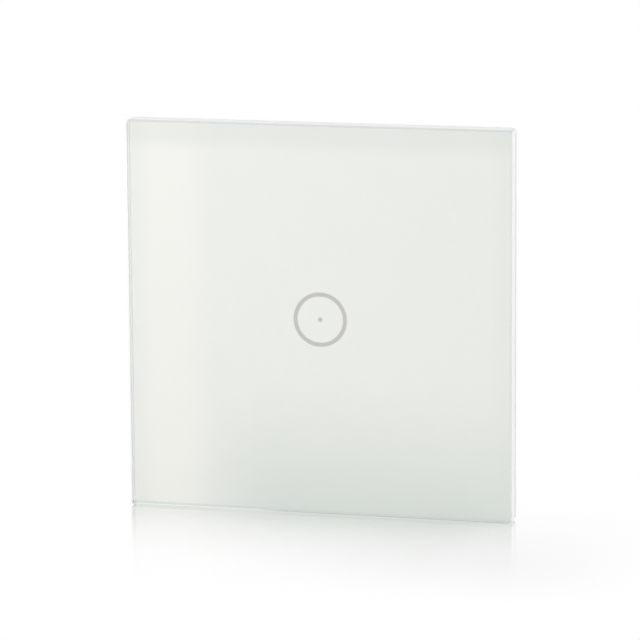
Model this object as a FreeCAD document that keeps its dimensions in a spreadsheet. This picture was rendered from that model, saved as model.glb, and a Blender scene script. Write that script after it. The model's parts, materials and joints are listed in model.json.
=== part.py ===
import FreeCAD, Part
import math
import os
import re

import Sketcher

# A wall switch with a glass touch panel, in millimetres. X runs to the right as a person sees the
# switch, Y runs into the wall and Z runs up. The origin is the middle of the wall plane, where the
# rear face of the mounting plate lies.
SIZES = {
    # glass panel and its print
    "panel_side": 86.0,
    "glass_corner": 0.8,
    "glass_thick": 4.0,
    "glass_arris": 0.4,
    "film_thick": 0.2,
    "film_inset": 0.4,
    "ring_wide": 12.0,
    "ring_line": 0.9,
    "dot_wide": 1.0,
    "ink_clearance": 0.02,
    # tape and carrier behind the glass
    "tape_thick": 0.2,
    "tape_inset": 0.7,
    "tape_window": 60.0,
    "tape_corner": 3.0,
    "carrier_inset": 0.1,
    "carrier_corner": 0.9,
    "carrier_thick": 1.0,
    "carrier_window": 22.0,
    "carrier_room": 0.8,
    "skirt_inset": 2.9,
    "skirt_corner": 4.6,
    "skirt_wall": 1.6,
    "wall_gap": 0.5,
    "gusset_thick": 1.0,
    "gusset_reach": 1.8,
    "gusset_deep": 2.2,
    "gusset_place": 27.0,
    "pry_wide": 12.0,
    "pry_deep": 1.6,
    # steel mounting plate
    "plate_inset": 2.6,
    "plate_corner": 4.0,
    "plate_thick": 1.2,
    "box_screw_spacing": 60.0,
    "slot_long": 6.0,
    "slot_radius": 2.0,
    "peg_inset": 4.5,
    "peg_radius": 1.5,
    "peg_clearance": 0.1,
    "peg_recess": 0.1,
    # clip frame and leaf springs
    "panel_clearance": 0.3,
    "frame_corner": 3.0,
    "frame_thick": 2.4,
    "frame_opening_room": 2.0,
    "frame_opening_corner": 7.0,
    "driver_window_wide": 9.2,
    "frame_rail": 3.5,
    "leaf_place": 18.0,
    "leaf_span": 12.0,
    "leaf_bow": 1.25,
    "leaf_rise": 0.9,
    "leaf_thick": 0.3,
    "leaf_wide": 1.8,
    "leaf_clearance": 0.05,
    "leaf_pocket_room": 0.7,
    "leaf_pocket_deep": 1.0,
    "leaf_channel_deep": 1.0,
    # rear housing and front cover
    "cup_side": 48.0,
    "cup_corner": 16.0,
    "cup_deep": 26.0,
    "cup_wall": 1.8,
    "cup_edge": 1.0,
    "cup_clearance": 0.3,
    "vent_wide": 1.4,
    "vent_long": 10.0,
    "vent_low": 6.0,
    "vent_pitch": 3.2,
    "label_wide": 27.0,
    "label_tall": 11.0,
    "label_low": -8.5,
    "label_deep": 0.3,
    "rim_wide": 2.0,
    "rim_corner": 6.0,
    "rim_thick": 1.5,
    "ledge_wide": 1.4,
    "ledge_deep": 1.5,
    "cover_thick": 1.5,
    "cover_boss_across": 18.0,
    "cover_boss_up": 10.0,
    "cover_boss_radius": 1.2,
    "cover_screw_inset": 4.0,
    "cover_screw_radius": 1.0,
    "cover_head_radius": 2.0,
    "cover_head_deep": 0.9,
    "cover_drive_deep": 0.5,
    "cover_drive_reach": 1.4,
    "drive_wide": 0.4,
    "screw_clearance": 0.15,
    "thread_clearance": 0.05,
    # light guide and touch spring
    "guide_wide": 12.6,
    "guide_bore": 9.6,
    "guide_flange": 15.6,
    "guide_flange_thick": 0.7,
    "guide_clearance": 0.1,
    "coil_wide": 8.0,
    "coil_wire": 0.5,
    "coil_gap": 0.1,
    # circuit boards and the plug between them
    "board_clearance": 0.4,
    "touch_board_thick": 1.2,
    "power_board_front": 6.4,
    "power_board_thick": 1.6,
    "lead_radius": 0.3,
    "lead_clearance": 0.15,
    "lead_proud": 0.5,
    "post_radius": 1.6,
    "post_bore": 0.9,
    "left_post_across": 9.0,
    "left_post_up": 17.2,
    "right_post_across": 12.5,
    "right_post_up": 14.5,
    "board_screw_radius": 0.8,
    "board_screw_long": 7.0,
    "board_head_radius": 1.5,
    "board_head_thick": 1.2,
    "board_drive_deep": 0.6,
    "board_drive_reach": 1.05,
    "header_pitch": 2.54,
    "header_drop": 6.2,
    "header_wide": 2.5,
    "header_tall": 2.5,
    "header_air": 0.1,
    "header_pin_radius": 0.32,
    # parts on the touch board
    "led_side": 1.2,
    "touch_chip_side": 4.0,
    "touch_chip_thick": 0.9,
    "touch_chip_across": 10.0,
    "touch_chip_up": 8.0,
    "radio_wide": 13.0,
    "radio_long": 20.0,
    "radio_thick": 0.8,
    "radio_across": 8.0,
    "radio_up": 5.5,
    "shield_wide": 11.0,
    "shield_long": 13.0,
    "shield_tall": 2.4,
    "shield_wall": 0.2,
    "shield_drop": 2.5,
    "radio_chip_side": 5.0,
    "radio_chip_thick": 0.9,
    # parts on the power board
    "filter_wide": 13.0,
    "filter_long": 5.5,
    "filter_tall": 11.0,
    "filter_across": 1.5,
    "filter_up": 16.4,
    "filter_lead_pitch": 10.0,
    "storage_radius": 4.0,
    "storage_tall": 13.0,
    "storage_across": 12.4,
    "storage_up": 6.0,
    "storage_lead_pitch": 3.5,
    "choke_across": 0.6,
    "choke_up": 8.5,
    "choke_radius": 3.5,
    "choke_post_radius": 1.8,
    "choke_flange": 1.0,
    "choke_tall": 9.0,
    "choke_lead_pitch": 5.0,
    "winding_clearance": 0.05,
    "winding_inset": 0.4,
    "varistor_radius": 4.5,
    "varistor_thick": 3.5,
    "varistor_post_gap": 0.45,
    "varistor_drop": 3.0,
    "varistor_lead_pitch": 5.0,
    "component_lift": 0.4,
    "resistor_radius": 2.0,
    "resistor_long": 9.0,
    "resistor_across": 7.0,
    "resistor_drop": 1.2,
    "resistor_lead_reach": 0.8,
    "rectifier_wide": 5.0,
    "rectifier_long": 6.0,
    "rectifier_tall": 2.4,
    "rectifier_drop": 2.6,
    "chip_wide": 4.0,
    "chip_long": 5.0,
    "chip_tall": 1.5,
    "chip_across": 9.0,
    "chip_up": 10.0,
    "leg_wide": 0.4,
    "leg_reach": 1.0,
    "leg_tall": 0.8,
    "leg_pitch": 1.27,
    "leg_lift": 0.2,
    # relay
    "relay_post_gap": 0.7,
    "relay_up": 4.0,
    "relay_wide": 10.0,
    "relay_long": 20.0,
    "relay_tall": 15.0,
    "relay_wall": 0.7,
    "relay_fit": 0.05,
    "relay_base_thick": 1.6,
    "relay_pin_across": 3.0,
    "relay_pin_drop": 6.5,
    "relay_pin_rise": 8.2,
    "relay_pin_radius": 0.4,
    "yoke_thick": 1.2,
    "yoke_wide": 6.0,
    "yoke_place": 8.0,
    "spool_place": 3.2,
    "spool_side": 7.4,
    "spool_tall": 8.4,
    "spool_flange": 0.8,
    "spool_tube_radius": 2.1,
    "core_radius": 1.3,
    "core_head_radius": 2.5,
    "core_head_thick": 0.4,
    "core_air": 0.5,
    "armature_air": 0.1,
    "armature_thick": 1.0,
    "armature_tail": 0.9,
    "armature_reach": 9.0,
    "blade_thick": 0.3,
    "blade_wide": 4.4,
    "contact_reach": 14.5,
    "contact_radius": 1.1,
    "contact_tall": 0.7,
    "contact_travel": 1.2,
    "fixed_contact_tall": 0.4,
    "contact_arm_thick": 0.8,
    "contact_post_thick": 0.6,
    "contact_post_place": 8.2,
    "rivet_radius": 0.7,
    "rivet_tall": 0.25,
    "rivet_from_hinge": 3.15,
    "rivet_from_end": 2.25,
    # screw terminals
    "terminal_pitch": 10.0,
    "terminal_block_wide": 29.6,
    "terminal_block_low": 20.0,
    "terminal_block_high": 8.5,
    "terminal_block_tall": 16.0,
    "terminal_floor": 1.2,
    "terminal_back_wall": 1.7,
    "chamber_wide": 7.8,
    "cage_clearance": 0.3,
    "cage_wall": 0.7,
    "cage_floor": 1.0,
    "cage_roof": 1.2,
    "cage_long": 8.0,
    "cage_recess": 1.0,
    "cage_travel": 3.0,
    "wire_room": 5.0,
    "tongue_thick": 0.8,
    "tongue_wide": 4.8,
    "tongue_air": 0.2,
    "tongue_pin_wide": 0.8,
    "clamp_screw_radius": 1.6,
    "clamp_head_radius": 2.5,
    "clamp_head_thick": 1.6,
    "clamp_head_air": 0.2,
    "clamp_tip_air": 0.1,
    "clamp_slot_wide": 0.8,
    "clamp_slot_deep": 0.8,
    "driver_bore_radius": 2.3,
    "driver_lip": 0.8,
    "wire_notch_wide": 27.2,
    "wire_notch_room": 0.6,
}

TERMINALS = 3
HEADER_PINS = 5
COIL_TURNS = 4
VENTS = 7

# Faces that several pieces share, from the wall out to the front of the glass.
PLATE_FRONT = "(-plate_thick)"
RIM_FRONT = f"({PLATE_FRONT} - rim_thick)"
COVER_FRONT = f"({RIM_FRONT} - cover_thick)"
FRAME_FRONT = f"({PLATE_FRONT} - frame_thick)"
CARRIER_BACK = f"({COVER_FRONT} - carrier_room)"
CARRIER_FRONT = f"({CARRIER_BACK} - carrier_thick)"
TAPE_FRONT = f"({CARRIER_FRONT} - tape_thick)"
FILM_FRONT = f"({TAPE_FRONT} - film_thick)"
GLASS_FRONT = f"({FILM_FRONT} - glass_thick)"
SKIRT_BACK = "(-wall_gap)"

# Faces inside the housing, from the touch board back to the rear wall.
TOUCH_BOARD_FRONT = "(-touch_board_thick)"
GUIDE_BACK = f"({RIM_FRONT} + guide_flange_thick)"
POWER_BOARD_BACK = "(power_board_front + power_board_thick)"
LEAD_TIP = "(power_board_front - lead_proud)"
CUP_FLOOR = "(cup_deep - cup_wall)"
CUP_HOLLOW = "(cup_side / 2 - cup_wall)"
CUP_HOLLOW_CORNER = "(cup_corner - cup_wall)"

# Edges at one side of the middle, from the glass inwards. The carrier reaches as far as the print.
FILM_EDGE = "(panel_side / 2 - film_inset)"
CARRIER_EDGE = "(panel_side / 2 - carrier_inset)"
SKIRT_EDGE = f"({CARRIER_EDGE} - skirt_inset)"
SKIRT_HOLLOW = f"({SKIRT_EDGE} - skirt_wall)"
FRAME_EDGE = f"({SKIRT_HOLLOW} - panel_clearance)"
PLATE_EDGE = f"({FRAME_EDGE} - plate_inset)"
PEG_PLACE = f"({PLATE_EDGE} - peg_inset)"
RIM_EDGE = "(cup_side / 2 + rim_wide)"
COVER_SCREW_PLACE = f"({RIM_EDGE} - cover_screw_inset)"
POWER_BOARD_INSET = "(ledge_wide + board_clearance)"
SIDE_POST = f"({CUP_HOLLOW} - {POWER_BOARD_INSET} - post_radius)"
POST_SIDE = f"({SIDE_POST} - post_radius)"
VARISTOR_ACROSS = f"({POST_SIDE} - varistor_post_gap - varistor_thick / 2)"

# Faces inside the relay.
RELAY_ACROSS = f"(relay_wide / 2 + relay_post_gap - {POST_SIDE})"
RELAY_FLOOR = f"({POWER_BOARD_BACK} + relay_base_thick)"
YOKE_FOOT = f"({RELAY_FLOOR} + yoke_thick)"
SPOOL_TOP = f"({YOKE_FOOT} + spool_tall)"
CORE_TOP = f"({SPOOL_TOP} + core_head_thick)"
YOKE_TOP = f"({CORE_TOP} + core_air)"
ARMATURE_UNDER = f"({YOKE_TOP} + armature_air)"
BLADE_UNDER = f"({ARMATURE_UNDER} + armature_thick)"
HINGE_UP = "(relay_up - yoke_place)"
SPOOL_UP = "(relay_up - spool_place)"

# Faces inside a screw terminal.
BLOCK_BACK = f"({POWER_BOARD_BACK} + terminal_block_tall)"
CHAMBER_FLOOR = f"({POWER_BOARD_BACK} + terminal_floor)"
CAGE_UNDER = f"({CHAMBER_FLOOR} + cage_clearance)"
WIRE_LOW = f"({CAGE_UNDER} + cage_floor)"
WIRE_HIGH = f"({WIRE_LOW} + wire_room)"
TONGUE_UNDER = f"({WIRE_HIGH} + tongue_air)"
TONGUE_TOP = f"({TONGUE_UNDER} + tongue_thick)"
ROOF_UNDER = f"({TONGUE_TOP} + 2 * tongue_air)"
ROOF_TOP = f"({ROOF_UNDER} + cage_roof)"
HEAD_UNDER = f"({ROOF_TOP} + cage_travel + clamp_head_air)"
HEAD_TOP = f"({HEAD_UNDER} + clamp_head_thick)"
CHAMBER_TOP = f"({HEAD_UNDER} - clamp_head_air / 2)"
BLOCK_LOW = "(-terminal_block_low)"
BLOCK_HIGH = "(-terminal_block_high)"
CAGE_LOW = f"({BLOCK_LOW} + cage_recess)"
CAGE_HIGH = f"({CAGE_LOW} + cage_long)"
CAGE_MIDDLE = f"(({CAGE_LOW} + {CAGE_HIGH}) / 2)"
TONGUE_BACK = f"({BLOCK_HIGH} + tongue_air / 2)"

AXIS_TURNS = {
    "x": FreeCAD.Rotation(FreeCAD.Vector(0, 1, 0), 90),
    "y": FreeCAD.Rotation(FreeCAD.Vector(1, 0, 0), -90),
    "z": FreeCAD.Rotation(),
}
CORNERS = ((1, 1), (-1, 1), (-1, -1), (1, -1))

doc = FreeCAD.newDocument("touch_switch")
sheet = doc.addObject("Spreadsheet::Sheet", "Sizes")
for row, (alias, number) in enumerate(SIZES.items(), 1):
    sheet.set(f"A{row}", alias)
    sheet.set(f"B{row}", str(number))
    sheet.setAlias(f"B{row}", alias)
doc.recompute()

subparts = []


def bound(text):
    """Point each size named in the text at its cell in the sheet."""
    def cell(word):
        name = word.group(0)
        return f"Sizes.{name}" if name in SIZES else name
    return re.sub(r"[a-z][a-z_]+", cell, str(text))


def measure(text):
    """Work out a length that is written in sizes."""
    return float(sheet.evalExpression(bound(text)))


def bind(piece, prop, text):
    piece.setExpression(prop, bound(text))


def keep(piece, label):
    """Name a finished sub-part. Its label names its file."""
    piece.Label = label
    subparts.append(piece)
    return piece


def block(name, across, deep, up):
    """A rectangular block between two faces on each axis."""
    piece = doc.addObject("Part::Box", name)
    for prop, axis, (low, high) in (("Length", "x", across), ("Width", "y", deep), ("Height", "z", up)):
        bind(piece, prop, f"({high}) - ({low})")
        bind(piece, f"Placement.Base.{axis}", low)
    return piece


def rod(name, radius, ends, centre, axis="y"):
    """A round rod between two ends on its axis. The centre gives its place on the other two."""
    piece = doc.addObject("Part::Cylinder", name)
    piece.Placement = FreeCAD.Placement(FreeCAD.Vector(), AXIS_TURNS[axis])
    bind(piece, "Radius", radius)
    bind(piece, "Height", f"({ends[1]}) - ({ends[0]})")
    bind(piece, f"Placement.Base.{axis}", ends[0])
    for other, place in zip([letter for letter in "xyz" if letter != axis], centre):
        bind(piece, f"Placement.Base.{other}", place)
    return piece


def rods(name, radius, ends, centres):
    """Rods alike, one at each centre."""
    return [rod(f"{name}_{count}", radius, ends, centre) for count, centre in enumerate(centres, 1)]


def join(name, pieces):
    piece = doc.addObject("Part::MultiFuse", name)
    piece.Shapes = pieces
    piece.Refine = True
    return piece


def group(name, pieces):
    """Separate solids that share one node."""
    piece = doc.addObject("Part::Compound", name)
    piece.Links = pieces
    return piece


def cut(name, base, tools):
    piece = doc.addObject("Part::Cut", name)
    piece.Base = base
    piece.Tool = tools[0] if len(tools) == 1 else join(f"{name}_tools", tools)
    return piece


def tube(name, outer, inner, ends, centre):
    """A round tube along Y."""
    solid = rod(f"{name}_outside", outer, ends, centre)
    bore = rod(f"{name}_bore", inner, ends, centre)
    return cut(name, solid, [bore])


def wall_sketch(body, name, face):
    """A sketch on a plane that faces the room, at a distance from the wall."""
    planes = {feature.Role: feature for feature in body.Origin.OriginFeatures}
    sketch = body.newObject("Sketcher::SketchObject", name)
    sketch.AttachmentSupport = (planes["XZ_Plane"], [""])
    sketch.MapMode = "FlatFace"
    bind(sketch, "AttachmentOffset.Base.z", f"-({face})")
    return sketch


def constrain(sketch, kind, places, size):
    """Add a sketch dimension that follows the sheet."""
    index = sketch.addConstraint(Sketcher.Constraint(kind, *places, measure(size)))
    sketch.renameConstraint(index, f"size_{index}")
    bind(sketch, f"Constraints.size_{index}", size)


def rounded_outline(sketch, half, corner):
    """A rounded square about the middle, from four lines and four arcs."""
    reach, bend = measure(half), measure(corner)
    flat = reach - bend
    first = sketch.GeometryCount
    for quarter in range(4):
        turn = FreeCAD.Rotation(FreeCAD.Vector(0, 0, 1), 90 * quarter)
        start = turn.multVec(FreeCAD.Vector(-flat, -reach, 0))
        stop = turn.multVec(FreeCAD.Vector(flat, -reach, 0))
        knuckle = turn.multVec(FreeCAD.Vector(flat, -flat, 0))
        leave = turn.multVec(FreeCAD.Vector(reach, -flat, 0))
        middle = knuckle + (stop + leave - knuckle * 2).normalize() * bend
        sketch.addGeometry(Part.LineSegment(start, stop))
        sketch.addGeometry(Part.Arc(stop, middle, leave))
    for quarter in range(4):
        line, arc = first + 2 * quarter, first + 2 * quarter + 1
        following = first + 2 * ((quarter + 1) % 4)
        sketch.addConstraint(Sketcher.Constraint("Tangent", line, 2, arc, 1))
        sketch.addConstraint(Sketcher.Constraint("Tangent", arc, 2, following, 1))
        sketch.addConstraint(Sketcher.Constraint("Vertical" if quarter % 2 else "Horizontal", line))
        if quarter:
            sketch.addConstraint(Sketcher.Constraint("Equal", first + 1, arc))
    constrain(sketch, "Radius", (first + 1,), corner)
    constrain(sketch, "DistanceY", (-1, 1, first, 1), f"-({half})")
    constrain(sketch, "DistanceX", (-1, 1, first + 2, 1), half)
    constrain(sketch, "DistanceY", (-1, 1, first + 4, 1), half)
    constrain(sketch, "DistanceX", (-1, 1, first + 6, 1), f"-({half})")


def circle_outline(sketch, radius, centre):
    index = sketch.addGeometry(Part.Circle(FreeCAD.Vector(), FreeCAD.Vector(0, 0, 1), measure(radius)))
    constrain(sketch, "Radius", (index,), radius)
    constrain(sketch, "DistanceX", (-1, 1, index, 3), centre[0])
    constrain(sketch, "DistanceY", (-1, 1, index, 3), centre[1])


def pad(body, name, outlines, faces):
    """Pad rounded squares, given as (half, corner), from the front face to the back face."""
    sketch = wall_sketch(body, f"{name}_outline", faces[0])
    for half, corner in outlines:
        rounded_outline(sketch, half, corner)
    feature = body.newObject("PartDesign::Pad", name)
    feature.Profile = sketch
    feature.Reversed = True
    bind(feature, "Length", f"({faces[1]}) - ({faces[0]})")
    doc.recompute()
    return feature


def slab(name, half, corner, faces):
    """A body that starts as a square plate with rounded corners."""
    body = doc.addObject("PartDesign::Body", name)
    pad(body, f"{name}_plate", [(half, corner)], faces)
    return body


def pocket(body, name, faces, outlines=(), circles=()):
    """Cut rounded squares and circles, given as (radius, centre), and see that metal is gone."""
    before = body.Shape.Volume
    sketch = wall_sketch(body, f"{name}_outline", faces[0])
    for half, corner in outlines:
        rounded_outline(sketch, half, corner)
    for radius, centre in circles:
        circle_outline(sketch, radius, centre)
    feature = body.newObject("PartDesign::Pocket", name)
    feature.Profile = sketch
    bind(feature, "Length", f"({faces[1]}) - ({faces[0]})")
    doc.recompute()
    if body.Shape.Volume >= before:
        raise RuntimeError(f"{name} cuts nothing")


def soften_edges(body, name, faces, size):
    """Chamfer the edges that lie wholly in the given faces."""
    doc.recompute()
    base = body.Tip
    edges = []
    for count, edge in enumerate(base.Shape.Edges, 1):
        box = edge.BoundBox
        if any(abs(box.YMin - face) + abs(box.YMax - face) < 1e-4 for face in map(measure, faces)):
            edges.append(f"Edge{count}")
    feature = body.newObject("PartDesign::Chamfer", name)
    feature.Base = (base, edges)
    bind(feature, "Size", size)
    doc.recompute()


def at_corners(across, up=None):
    return [(f"{side} * ({across})", f"{rise} * ({up or across})") for side, rise in CORNERS]


def terminal_places():
    return [f"{count - (TERMINALS - 1) / 2} * terminal_pitch" for count in range(TERMINALS)]


def header_places():
    middle = (HEADER_PINS - 1) / 2
    return [(f"{count - middle} * header_pitch", "-header_drop") for count in range(HEADER_PINS)]


def lead_pair(across, up, pitch, axis):
    """Centres of a component's two leads, a pitch apart on one axis."""
    if axis == "x":
        return [(f"{across} - {pitch} / 2", up), (f"{across} + {pitch} / 2", up)]
    return [(across, f"{up} - {pitch} / 2"), (across, f"{up} + {pitch} / 2")]


FILTER_LEADS = lead_pair("filter_across", "filter_up", "filter_lead_pitch", "x")
STORAGE_LEADS = lead_pair("storage_across", "storage_up", "storage_lead_pitch", "z")
CHOKE_LEADS = lead_pair("choke_across", "choke_up", "choke_lead_pitch", "x")
VARISTOR_LEADS = lead_pair(VARISTOR_ACROSS, "-varistor_drop", "varistor_lead_pitch", "z")
RESISTOR_SPREAD = "(resistor_long + 2 * resistor_lead_reach)"
RESISTOR_LEADS = lead_pair("resistor_across", "-resistor_drop", RESISTOR_SPREAD, "z")
RELAY_PINS = [(f"{RELAY_ACROSS} + {side} * relay_pin_across", f"relay_up + ({rise})")
              for side in (-1, 1) for rise in ("-relay_pin_drop", "relay_pin_rise")]
TONGUE_PINS = [(place, f"{TONGUE_BACK} + tongue_thick / 2") for place in terminal_places()]
POSTS = [(SIDE_POST, "0"), (f"-{SIDE_POST}", "0"),
         ("-left_post_across", "left_post_up"), ("right_post_across", "right_post_up")]


def glass_panel():
    body = slab("glass_form", "panel_side / 2", "glass_corner", (GLASS_FRONT, FILM_FRONT))
    soften_edges(body, "glass_edges", (GLASS_FRONT, FILM_FRONT), "glass_arris")
    keep(body, "glass_panel")


def printed_film():
    """White print on the back of the glass, open where the symbol is."""
    faces = (FILM_FRONT, TAPE_FRONT)
    sheet_form = slab("film_sheet", FILM_EDGE, "glass_corner", faces)
    ring = tube("film_ring", "ring_wide / 2 + ink_clearance", "ring_wide / 2 - ring_line - ink_clearance",
                faces, ("0", "0"))
    dot = rod("film_dot", "dot_wide / 2 + ink_clearance", faces, ("0", "0"))
    keep(cut("film_form", sheet_form, [ring, dot]), "printed_film")


def touch_symbol():
    """Grey ring with a dot in its middle, in the openings of the white print."""
    faces = (FILM_FRONT, TAPE_FRONT)
    ring = tube("symbol_ring", "ring_wide / 2", "ring_wide / 2 - ring_line", faces, ("0", "0"))
    dot = rod("symbol_dot", "dot_wide / 2", faces, ("0", "0"))
    keep(group("symbol_form", [ring, dot]), "touch_symbol")


def panel_tape():
    faces = (TAPE_FRONT, CARRIER_FRONT)
    body = slab("tape_form", f"{FILM_EDGE} - tape_inset", "carrier_corner", faces)
    pocket(body, "tape_window_cut", faces, outlines=[("tape_window / 2", "tape_corner")])
    keep(body, "panel_tape")


def panel_carrier():
    """Plate behind the glass with a skirt that slips over the clip frame."""
    body = slab("carrier_form", CARRIER_EDGE, "carrier_corner", (CARRIER_FRONT, CARRIER_BACK))
    pad(body, "carrier_skirt",
        [(SKIRT_EDGE, "skirt_corner"), (SKIRT_HOLLOW, "skirt_corner - skirt_wall")],
        (CARRIER_BACK, SKIRT_BACK))
    pocket(body, "carrier_bore", (CARRIER_FRONT, CARRIER_BACK), circles=[("carrier_window / 2", ("0", "0"))])
    gussets = []
    near, far = f"{SKIRT_EDGE} - skirt_wall / 2", f"{SKIRT_EDGE} + gusset_reach"
    deep = (CARRIER_BACK, f"{CARRIER_BACK} + gusset_deep")
    for side in (-1, 1):
        outward = sorted((f"{side} * ({near})", f"{side} * ({far})"), key=measure)
        for place in (-1, 0, 1):
            centre = f"{place} * gusset_place"
            along = (f"{centre} - gusset_thick / 2", f"{centre} + gusset_thick / 2")
            gussets.append(block("carrier_side_gusset", outward, deep, along))
            gussets.append(block("carrier_end_gusset", along, deep, outward))
    channels = []
    for side, rise in CORNERS:
        along = [f"{side} * leaf_place + {end} * (leaf_span / 2 + leaf_pocket_room)" for end in (-1, 1)]
        inward = f"{rise} * ({FRAME_EDGE})"
        outward = f"{rise} * ({SKIRT_HOLLOW} + leaf_channel_deep)"
        reach = sorted((inward, outward), key=measure)
        channels.append(block("carrier_channel", along, (CARRIER_BACK, "0"), reach))
    pry = block("carrier_pry_notch", ("-pry_wide / 2", "pry_wide / 2"), (f"{SKIRT_BACK} - pry_deep", "0"),
                (f"-{SKIRT_EDGE} - skirt_wall", f"-{SKIRT_HOLLOW} + skirt_wall / 2"))
    keep(cut("carrier_cut", join("carrier_joined", [body] + gussets), channels + [pry]), "panel_carrier")


def mounting_plate():
    """Steel plate that the wall box screws pull against the wall."""
    faces = (PLATE_FRONT, "0")
    body = slab("plate_form", PLATE_EDGE, "plate_corner", faces)
    opening = ("cup_side / 2 + cup_clearance", "cup_corner + cup_clearance")
    pegs = [("peg_radius + peg_clearance", centre) for centre in at_corners(PEG_PLACE)]
    thread = "cover_screw_radius + thread_clearance"
    threads = [(thread, centre) for centre in at_corners(COVER_SCREW_PLACE)]
    pocket(body, "plate_cuts", faces, outlines=[opening], circles=pegs + threads)
    slots = []
    flat = "(slot_long / 2 - slot_radius)"
    for side in (-1, 1):
        place = f"{side} * box_screw_spacing / 2"
        along, around = (f"{place} - {flat}", f"{place} + {flat}"), ("-slot_radius", "slot_radius")
        slots.append(block("plate_side_slot", along, faces, around))
        slots.append(block("plate_end_slot", around, faces, along))
        for end in along:
            slots.append(rod("plate_side_slot_end", "slot_radius", faces, (end, "0")))
            slots.append(rod("plate_end_slot_end", "slot_radius", faces, ("0", end)))
    keep(cut("plate_cut", body, slots), "mounting_plate")


def clip_frame():
    """Plastic frame on the mounting plate, which the panel's skirt slips over."""
    faces = (FRAME_FRONT, PLATE_FRONT)
    opening = f"({RIM_EDGE} + frame_opening_room)"
    body = slab("frame_form", FRAME_EDGE, "frame_corner", faces)
    pocket(body, "frame_opening_cut", faces, outlines=[(opening, "frame_opening_corner")])
    pegs = rods("frame_peg", "peg_radius", (PLATE_FRONT, "-peg_recess"), at_corners(PEG_PLACE))
    openings = []
    around = ("-driver_window_wide / 2", "driver_window_wide / 2")
    for side in (-1, 1):
        ends = (f"{side} * ({opening} - frame_corner)", f"{side} * ({FRAME_EDGE} - frame_rail)")
        reach = sorted(ends, key=measure)
        openings.append(block("frame_side_window", reach, faces, around))
        openings.append(block("frame_end_window", around, faces, reach))
    deep = (f"{LEAF_FACES[0]} - leaf_clearance", f"{LEAF_FACES[1]} + leaf_clearance")
    for side, rise in CORNERS:
        along = [f"{side} * leaf_place + {end} * (leaf_span / 2 + leaf_pocket_room)" for end in (-1, 1)]
        inward = f"{rise} * ({FRAME_EDGE} - leaf_pocket_deep)"
        outward = f"{rise} * ({FRAME_EDGE} + leaf_pocket_deep)"
        openings.append(block("frame_leaf_pocket", along, deep, sorted((inward, outward), key=measure)))
    keep(cut("frame_cut", join("frame_joined", [body] + pegs), openings), "clip_frame")


LEAF_MIDDLE = f"(({FRAME_FRONT} + {PLATE_FRONT}) / 2)"
LEAF_FACES = (f"({LEAF_MIDDLE} - leaf_wide / 2)", f"({LEAF_MIDDLE} + leaf_wide / 2)")


def retaining_springs():
    """Bowed steel leaves in the frame's edge that grip the panel's skirt."""
    radius = "((leaf_span * leaf_span / 4 + leaf_bow * leaf_bow) / (2 * leaf_bow))"
    leaves = []
    for side, rise in CORNERS:
        centre = (f"{side} * leaf_place", f"{rise} * ({FRAME_EDGE} + leaf_rise - {radius})")
        hoop = tube("leaf_hoop", radius, f"{radius} - leaf_thick", LEAF_FACES, centre)
        along = [f"{side} * leaf_place + {end} * leaf_span / 2" for end in (-1, 1)]
        seat = f"{rise} * ({FRAME_EDGE} - leaf_pocket_deep)"
        crest = f"{rise} * ({FRAME_EDGE} + leaf_pocket_deep)"
        window = block("leaf_window", along, LEAF_FACES, sorted((seat, crest), key=measure))
        leaf = doc.addObject("Part::Common", "leaf_form")
        leaf.Base = hoop
        leaf.Tool = window
        leaves.append(leaf)
    keep(group("leaf_set", leaves), "retaining_springs")


def housing_vents():
    """Round-ended slots in the rear wall, over the parts that get warm."""
    vents = []
    deep = (f"{CUP_FLOOR} - cup_wall / 2", "cup_deep")
    for count in range(VENTS):
        place = f"({count - (VENTS - 1) / 2} * vent_pitch)"
        around = (f"{place} - vent_wide / 2", f"{place} + vent_wide / 2")
        vents.append(block("housing_vent", around, deep, ("vent_low", "vent_low + vent_long")))
        vents += rods("housing_vent_end", "vent_wide / 2", deep,
                      [(place, "vent_low"), (place, "vent_low + vent_long")])
    return vents


def rear_housing():
    """Deep cup that holds the circuit, with a rim that lies on the mounting plate."""
    body = slab("housing_form", "cup_side / 2", "cup_corner", (RIM_FRONT, "cup_deep"))
    soften_edges(body, "housing_edge", ("cup_deep",), "cup_edge")
    pad(body, "housing_rim", [(RIM_EDGE, "rim_corner")], (RIM_FRONT, PLATE_FRONT))
    holes = [("cover_screw_radius + screw_clearance", centre) for centre in at_corners(COVER_SCREW_PLACE)]
    pocket(body, "housing_hollow", (RIM_FRONT, CUP_FLOOR), outlines=[(CUP_HOLLOW, CUP_HOLLOW_CORNER)])
    pocket(body, "housing_screw_holes", (RIM_FRONT, PLATE_FRONT), circles=holes)
    pad(body, "housing_ledge",
        [(f"{CUP_HOLLOW} + cup_wall / 2", f"{CUP_HOLLOW_CORNER} + cup_wall / 2"),
         (f"{CUP_HOLLOW} - ledge_wide", f"{CUP_HOLLOW_CORNER} - ledge_wide")],
        ("0", "ledge_deep"))
    posts = rods("housing_post", "post_radius", (POWER_BOARD_BACK, f"{CUP_FLOOR} + cup_wall / 2"), POSTS)
    bored = (POWER_BOARD_BACK, f"{POWER_BOARD_BACK} + board_screw_long")
    bores = rods("housing_post_bore", "post_bore", bored, POSTS)
    notch = block("housing_wire_notch", ("-wire_notch_wide / 2", "wire_notch_wide / 2"),
                  (f"{WIRE_LOW} - wire_notch_room", "cup_deep"), ("-cup_side / 2 - cup_wall", BLOCK_LOW))
    wall = (f"{CUP_FLOOR} - cup_wall / 2", "cup_deep")
    driver_holes = rods("housing_driver_hole", "driver_bore_radius", wall,
                        [(place, CAGE_MIDDLE) for place in terminal_places()])
    label = block("housing_label_field", ("-label_wide / 2", "label_wide / 2"),
                  ("cup_deep - label_deep", "cup_deep"), ("label_low", "label_low + label_tall"))
    openings = bores + driver_holes + housing_vents() + [notch, label]
    keep(cut("housing_cut", join("housing_joined", [body] + posts), openings), "rear_housing")


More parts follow.
